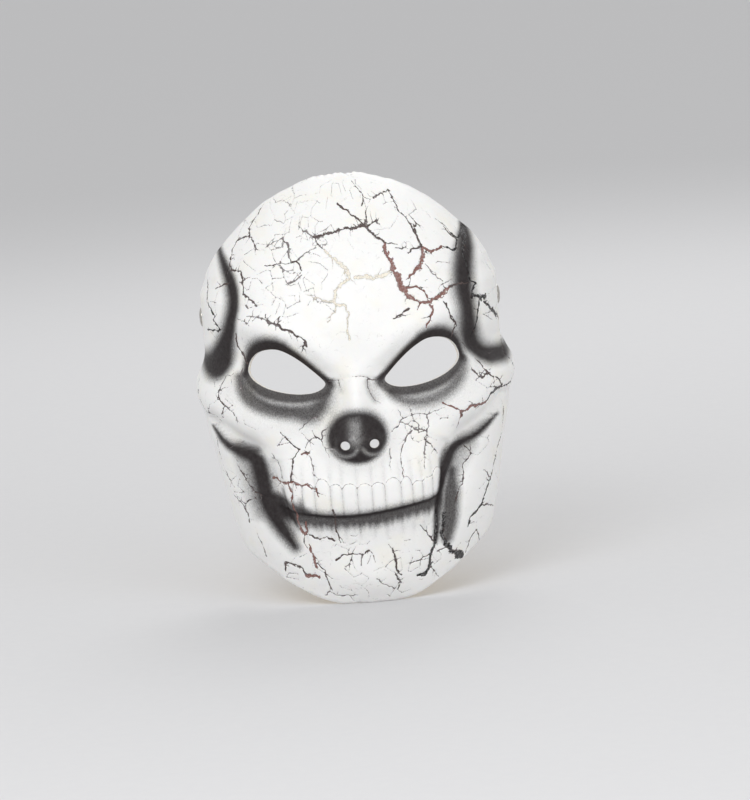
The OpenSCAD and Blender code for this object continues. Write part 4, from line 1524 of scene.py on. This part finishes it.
def white_paint(s, fine):
    """White with creamy clouds and faint crazing, worn grey in small patches."""
    base = s.mix(s.scaled(s.noise(16, 3), 0.5, 0.72), WHITE_PAINT, CREAM_PAINT)
    worn = s.times(s.scaled(s.noise(5, 4, 0.6), 0.52, 0.75), s.scaled(fine, 0.35, 0.7))
    base = s.mix(s.times(worn, 0.55), base, WORN_WHITE)
    warp = s.node("ShaderNodeVectorMath", operation="MULTIPLY_ADD")
    s.put(warp.inputs[0], s.noise(2.5, 4, output="Color"))
    warp.inputs[1].default_value = (0.004, 0.004, 0.004)
    s.put(warp.inputs[2], s.place)
    web = s.cells(8, feature="DISTANCE_TO_EDGE", place=warp.outputs[0])
    line = s.scaled(web, 0.008, 0.035, 1.0, 0.0)
    here = s.scaled(s.noise(11, 3, 0.7), 0.5, 0.66)
    broken = s.scaled(s.noise(1.6, 2), 0.45, 0.6)
    return s.mix(s.times(s.times(line, here), s.times(broken, 0.5)), base, CRACK_TONES["pale"])


def sprayed_and_painted_shading(s, speckle):
    """How black each point is from the airbrush, the painted shade and the painted highlights, speckled
    where it fades.
    """
    soot = s.attribute("soot")
    edge = s.times(soot, s.math("SUBTRACT", 1.0, soot))
    return s.math("ADD", soot, s.times(speckle, s.times(edge, 3.2)), True)


def crack_depth(s, width):
    """Depth inside the painted cracks in millimetres, with chipped edges."""
    chips = s.plus(s.times(s.cells(1.3, "Color"), 0.8), s.noise(1.5, 4, 0.6))
    sway = s.scaled(width, 0.15, 1.1, 0.2, 1.8, False)
    return s.plus(s.attribute("crack"), s.times(s.math("SUBTRACT", chips, 0.9), sway))


def crack_colour(s, width, depth):
    """Paint of the cracks: flaked, darker at their edges, with pale specks in the wide ones."""
    shade = s.scaled(depth, 0.0, 0.4, 0.66, 1.04)
    flakes = s.times(s.scaled(s.cells(0.9), 0.2, 0.6, 0.85, 1.12), shade)
    colour = s.node("ShaderNodeMix", data_type="RGBA", blend_type="MULTIPLY")
    colour.inputs["Factor"].default_value = 1.0
    s.put(colour.inputs[6], s.attribute("crack_colour", "Color"))
    s.put(colour.inputs[7], flakes)
    specks = s.times(s.scaled(s.cells(0.45, "Color"), 0.58, 0.66), s.scaled(width, 0.4, 0.8))
    return s.mix(s.times(specks, 0.2), colour.outputs[2], WORN_WHITE)


def latex_material():
    """White paint on moulded latex, with the airbrush's black, painted shade between the teeth, painted
    highlights on the nose and painted cracks; bare inside.
    """
    s = Shader("painted_latex")
    fine = s.noise(0.55, 2, 0.6)
    speckle = s.times(s.math("SUBTRACT", s.noise(0.5, 2, 0.7, (1, 1, 0.6)), 0.5), 1.2)
    soot = sprayed_and_painted_shading(s, speckle)
    patchy = s.scaled(s.noise(2.2, 4, 0.65), 0.3, 0.7, 0.985, 1.0)
    # The airbrush's black, with the painted shade and highlights it carries, laid over the white
    base = s.mix(s.times(soot, patchy), white_paint(s, fine), BLACK_PAINT_AND_PAINTED_SHADE)
    width = s.attribute("crack_width")
    depth = crack_depth(s, width)
    base = s.mix(s.scaled(depth, -0.05, 0.07), base, crack_colour(s, width, depth))
    bare = s.mix(s.scaled(s.noise(7, 4, 0.6), 0.35, 0.7), BARE_LATEX, DARK_LATEX)
    painted = s.scaled(s.plus(s.attribute("painted"), s.times(speckle, 0.4)), 0.35, 0.6)
    s.set(Base_Color=s.mix(painted, bare, base))

    dull = s.plus(s.scaled(s.noise(1.2, 3), 0.3, 0.7, 0.42, 0.56), s.times(soot, 0.12))
    s.set(Roughness=s.math("SUBTRACT", dull, s.times(s.attribute("gloss"), 0.44)), IOR=1.45)
    s.set(Specular_IOR_Level=0.36)
    s.set(Subsurface_Weight=0.06, Subsurface_Radius=(0.6, 0.35, 0.2), Subsurface_Scale=0.002)
    s.bump(s.noise(3.5, 3, 0.5), 0.12)
    s.bump(fine, 0.035)
    s.bump(s.scaled(depth, -0.25, 0.2, 1.0, 0.0), 0.18)
    s.bump(s.noise(0.3, 1), 0.012)
    return s.material


def patch_material():
    """Uncoloured latex sheet, cloudy and slightly ribbed where it was brushed with glue."""
    s = Shader("natural_latex")
    cloudy = s.scaled(s.noise(4, 4, 0.6), 0.3, 0.7)
    s.set(Base_Color=s.mix(cloudy, srgb(0.88, 0.80, 0.62), srgb(0.78, 0.67, 0.47)))
    s.set(Roughness=s.scaled(s.noise(1.5, 3), 0.3, 0.7, 0.38, 0.55))
    s.set(Subsurface_Weight=0.15, Subsurface_Radius=(1.0, 0.5, 0.25), Subsurface_Scale=0.001)
    s.bump(s.noise(1.1, 3, 0.6, (1, 0.35, 1)), 0.12)
    s.bump(s.noise(0.3, 2), 0.02)
    return s.material


def metal_material():
    """Nickel-plated steel with turned scratches, dulled in patches."""
    s = Shader("nickel_plate")
    worn = s.scaled(s.noise(1.6, 4, 0.65), 0.35, 0.7)
    s.set(Base_Color=s.mix(worn, srgb(0.80, 0.79, 0.77), srgb(0.62, 0.60, 0.57)))
    s.set(Metallic=1.0, Roughness=s.scaled(s.noise(0.5, 3, 0.6), 0.3, 0.7, 0.22, 0.42))
    s.bump(s.noise(0.25, 2, 0.5, (1, 1, 0.2)), 0.006)
    return s.material


def elastic_material():
    """Black braided elastic: ribs of small chevrons over rubber threads."""
    s = Shader("braided_elastic")
    lean = s.math("PINGPONG", s.attribute("across"), 0.5)
    turns = s.plus(s.math("DIVIDE", s.attribute("along"), PICK_PITCH), lean)
    picks = s.scaled(s.math("SINE", s.times(turns, 2 * math.pi)), -1.0, 1.0)
    thread = s.noise(0.35, 3, 0.6, (1, 1, 2.2))
    between = s.scaled(lean, 0.0, 0.16)
    tone = s.times(s.scaled(s.plus(picks, s.times(thread, 0.6)), 0.3, 1.3), between)
    s.set(Base_Color=s.mix(tone, srgb(0.075, 0.073, 0.078), srgb(0.19, 0.185, 0.19)))
    s.set(Roughness=s.scaled(thread, 0.3, 0.7, 0.62, 0.85))
    s.set(Sheen_Weight=0.35, Sheen_Roughness=0.5)
    s.bump(picks, 0.12)
    s.bump(thread, 0.05)
    return s.material


def floor_material():
    s = Shader("studio_floor")
    s.set(Base_Color=s.mix(s.scaled(s.noise(6, 2), 0.3, 0.7), FLOOR_TONE, FLOOR_TONE_2), Roughness=0.85)
    return s.material


# --------------------------------------------------------------------- assembly
def finished(piece, material, slot, *nodes):
    """Gives a piece its material and hides the CAD nodes it stands for."""
    piece.data.materials.clear()
    piece.data.materials.append(material)
    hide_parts(*nodes)
    return piece


def assemble():
    skin = finished(make_skin(), latex_material(), "latex", "latex_skin")
    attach(skin, "mask")
    metal, sheet = metal_material(), patch_material()
    for word, side in SIDES:
        for make, material, slot, node in (
            (make_patch, sheet, "patch_latex", "temple_patch_"),
            (make_rivet, metal, "rivet_metal", "rivet_"),
            (make_washer, metal, "rivet_metal", "rivet_washer_"),
            (make_cap, metal, "rivet_metal", "rivet_cap_"),
        ):
            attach(finished(make(word, side), material, slot, node + word), "mask")
    strap = finished(
        make_strap(), elastic_material(), "elastic",
        "strap_end_left", "strap_end_right", "strap_side_left", "strap_side_right", "strap_back",
    )
    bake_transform(strap)


make_camera()
make_studio()
assemble()
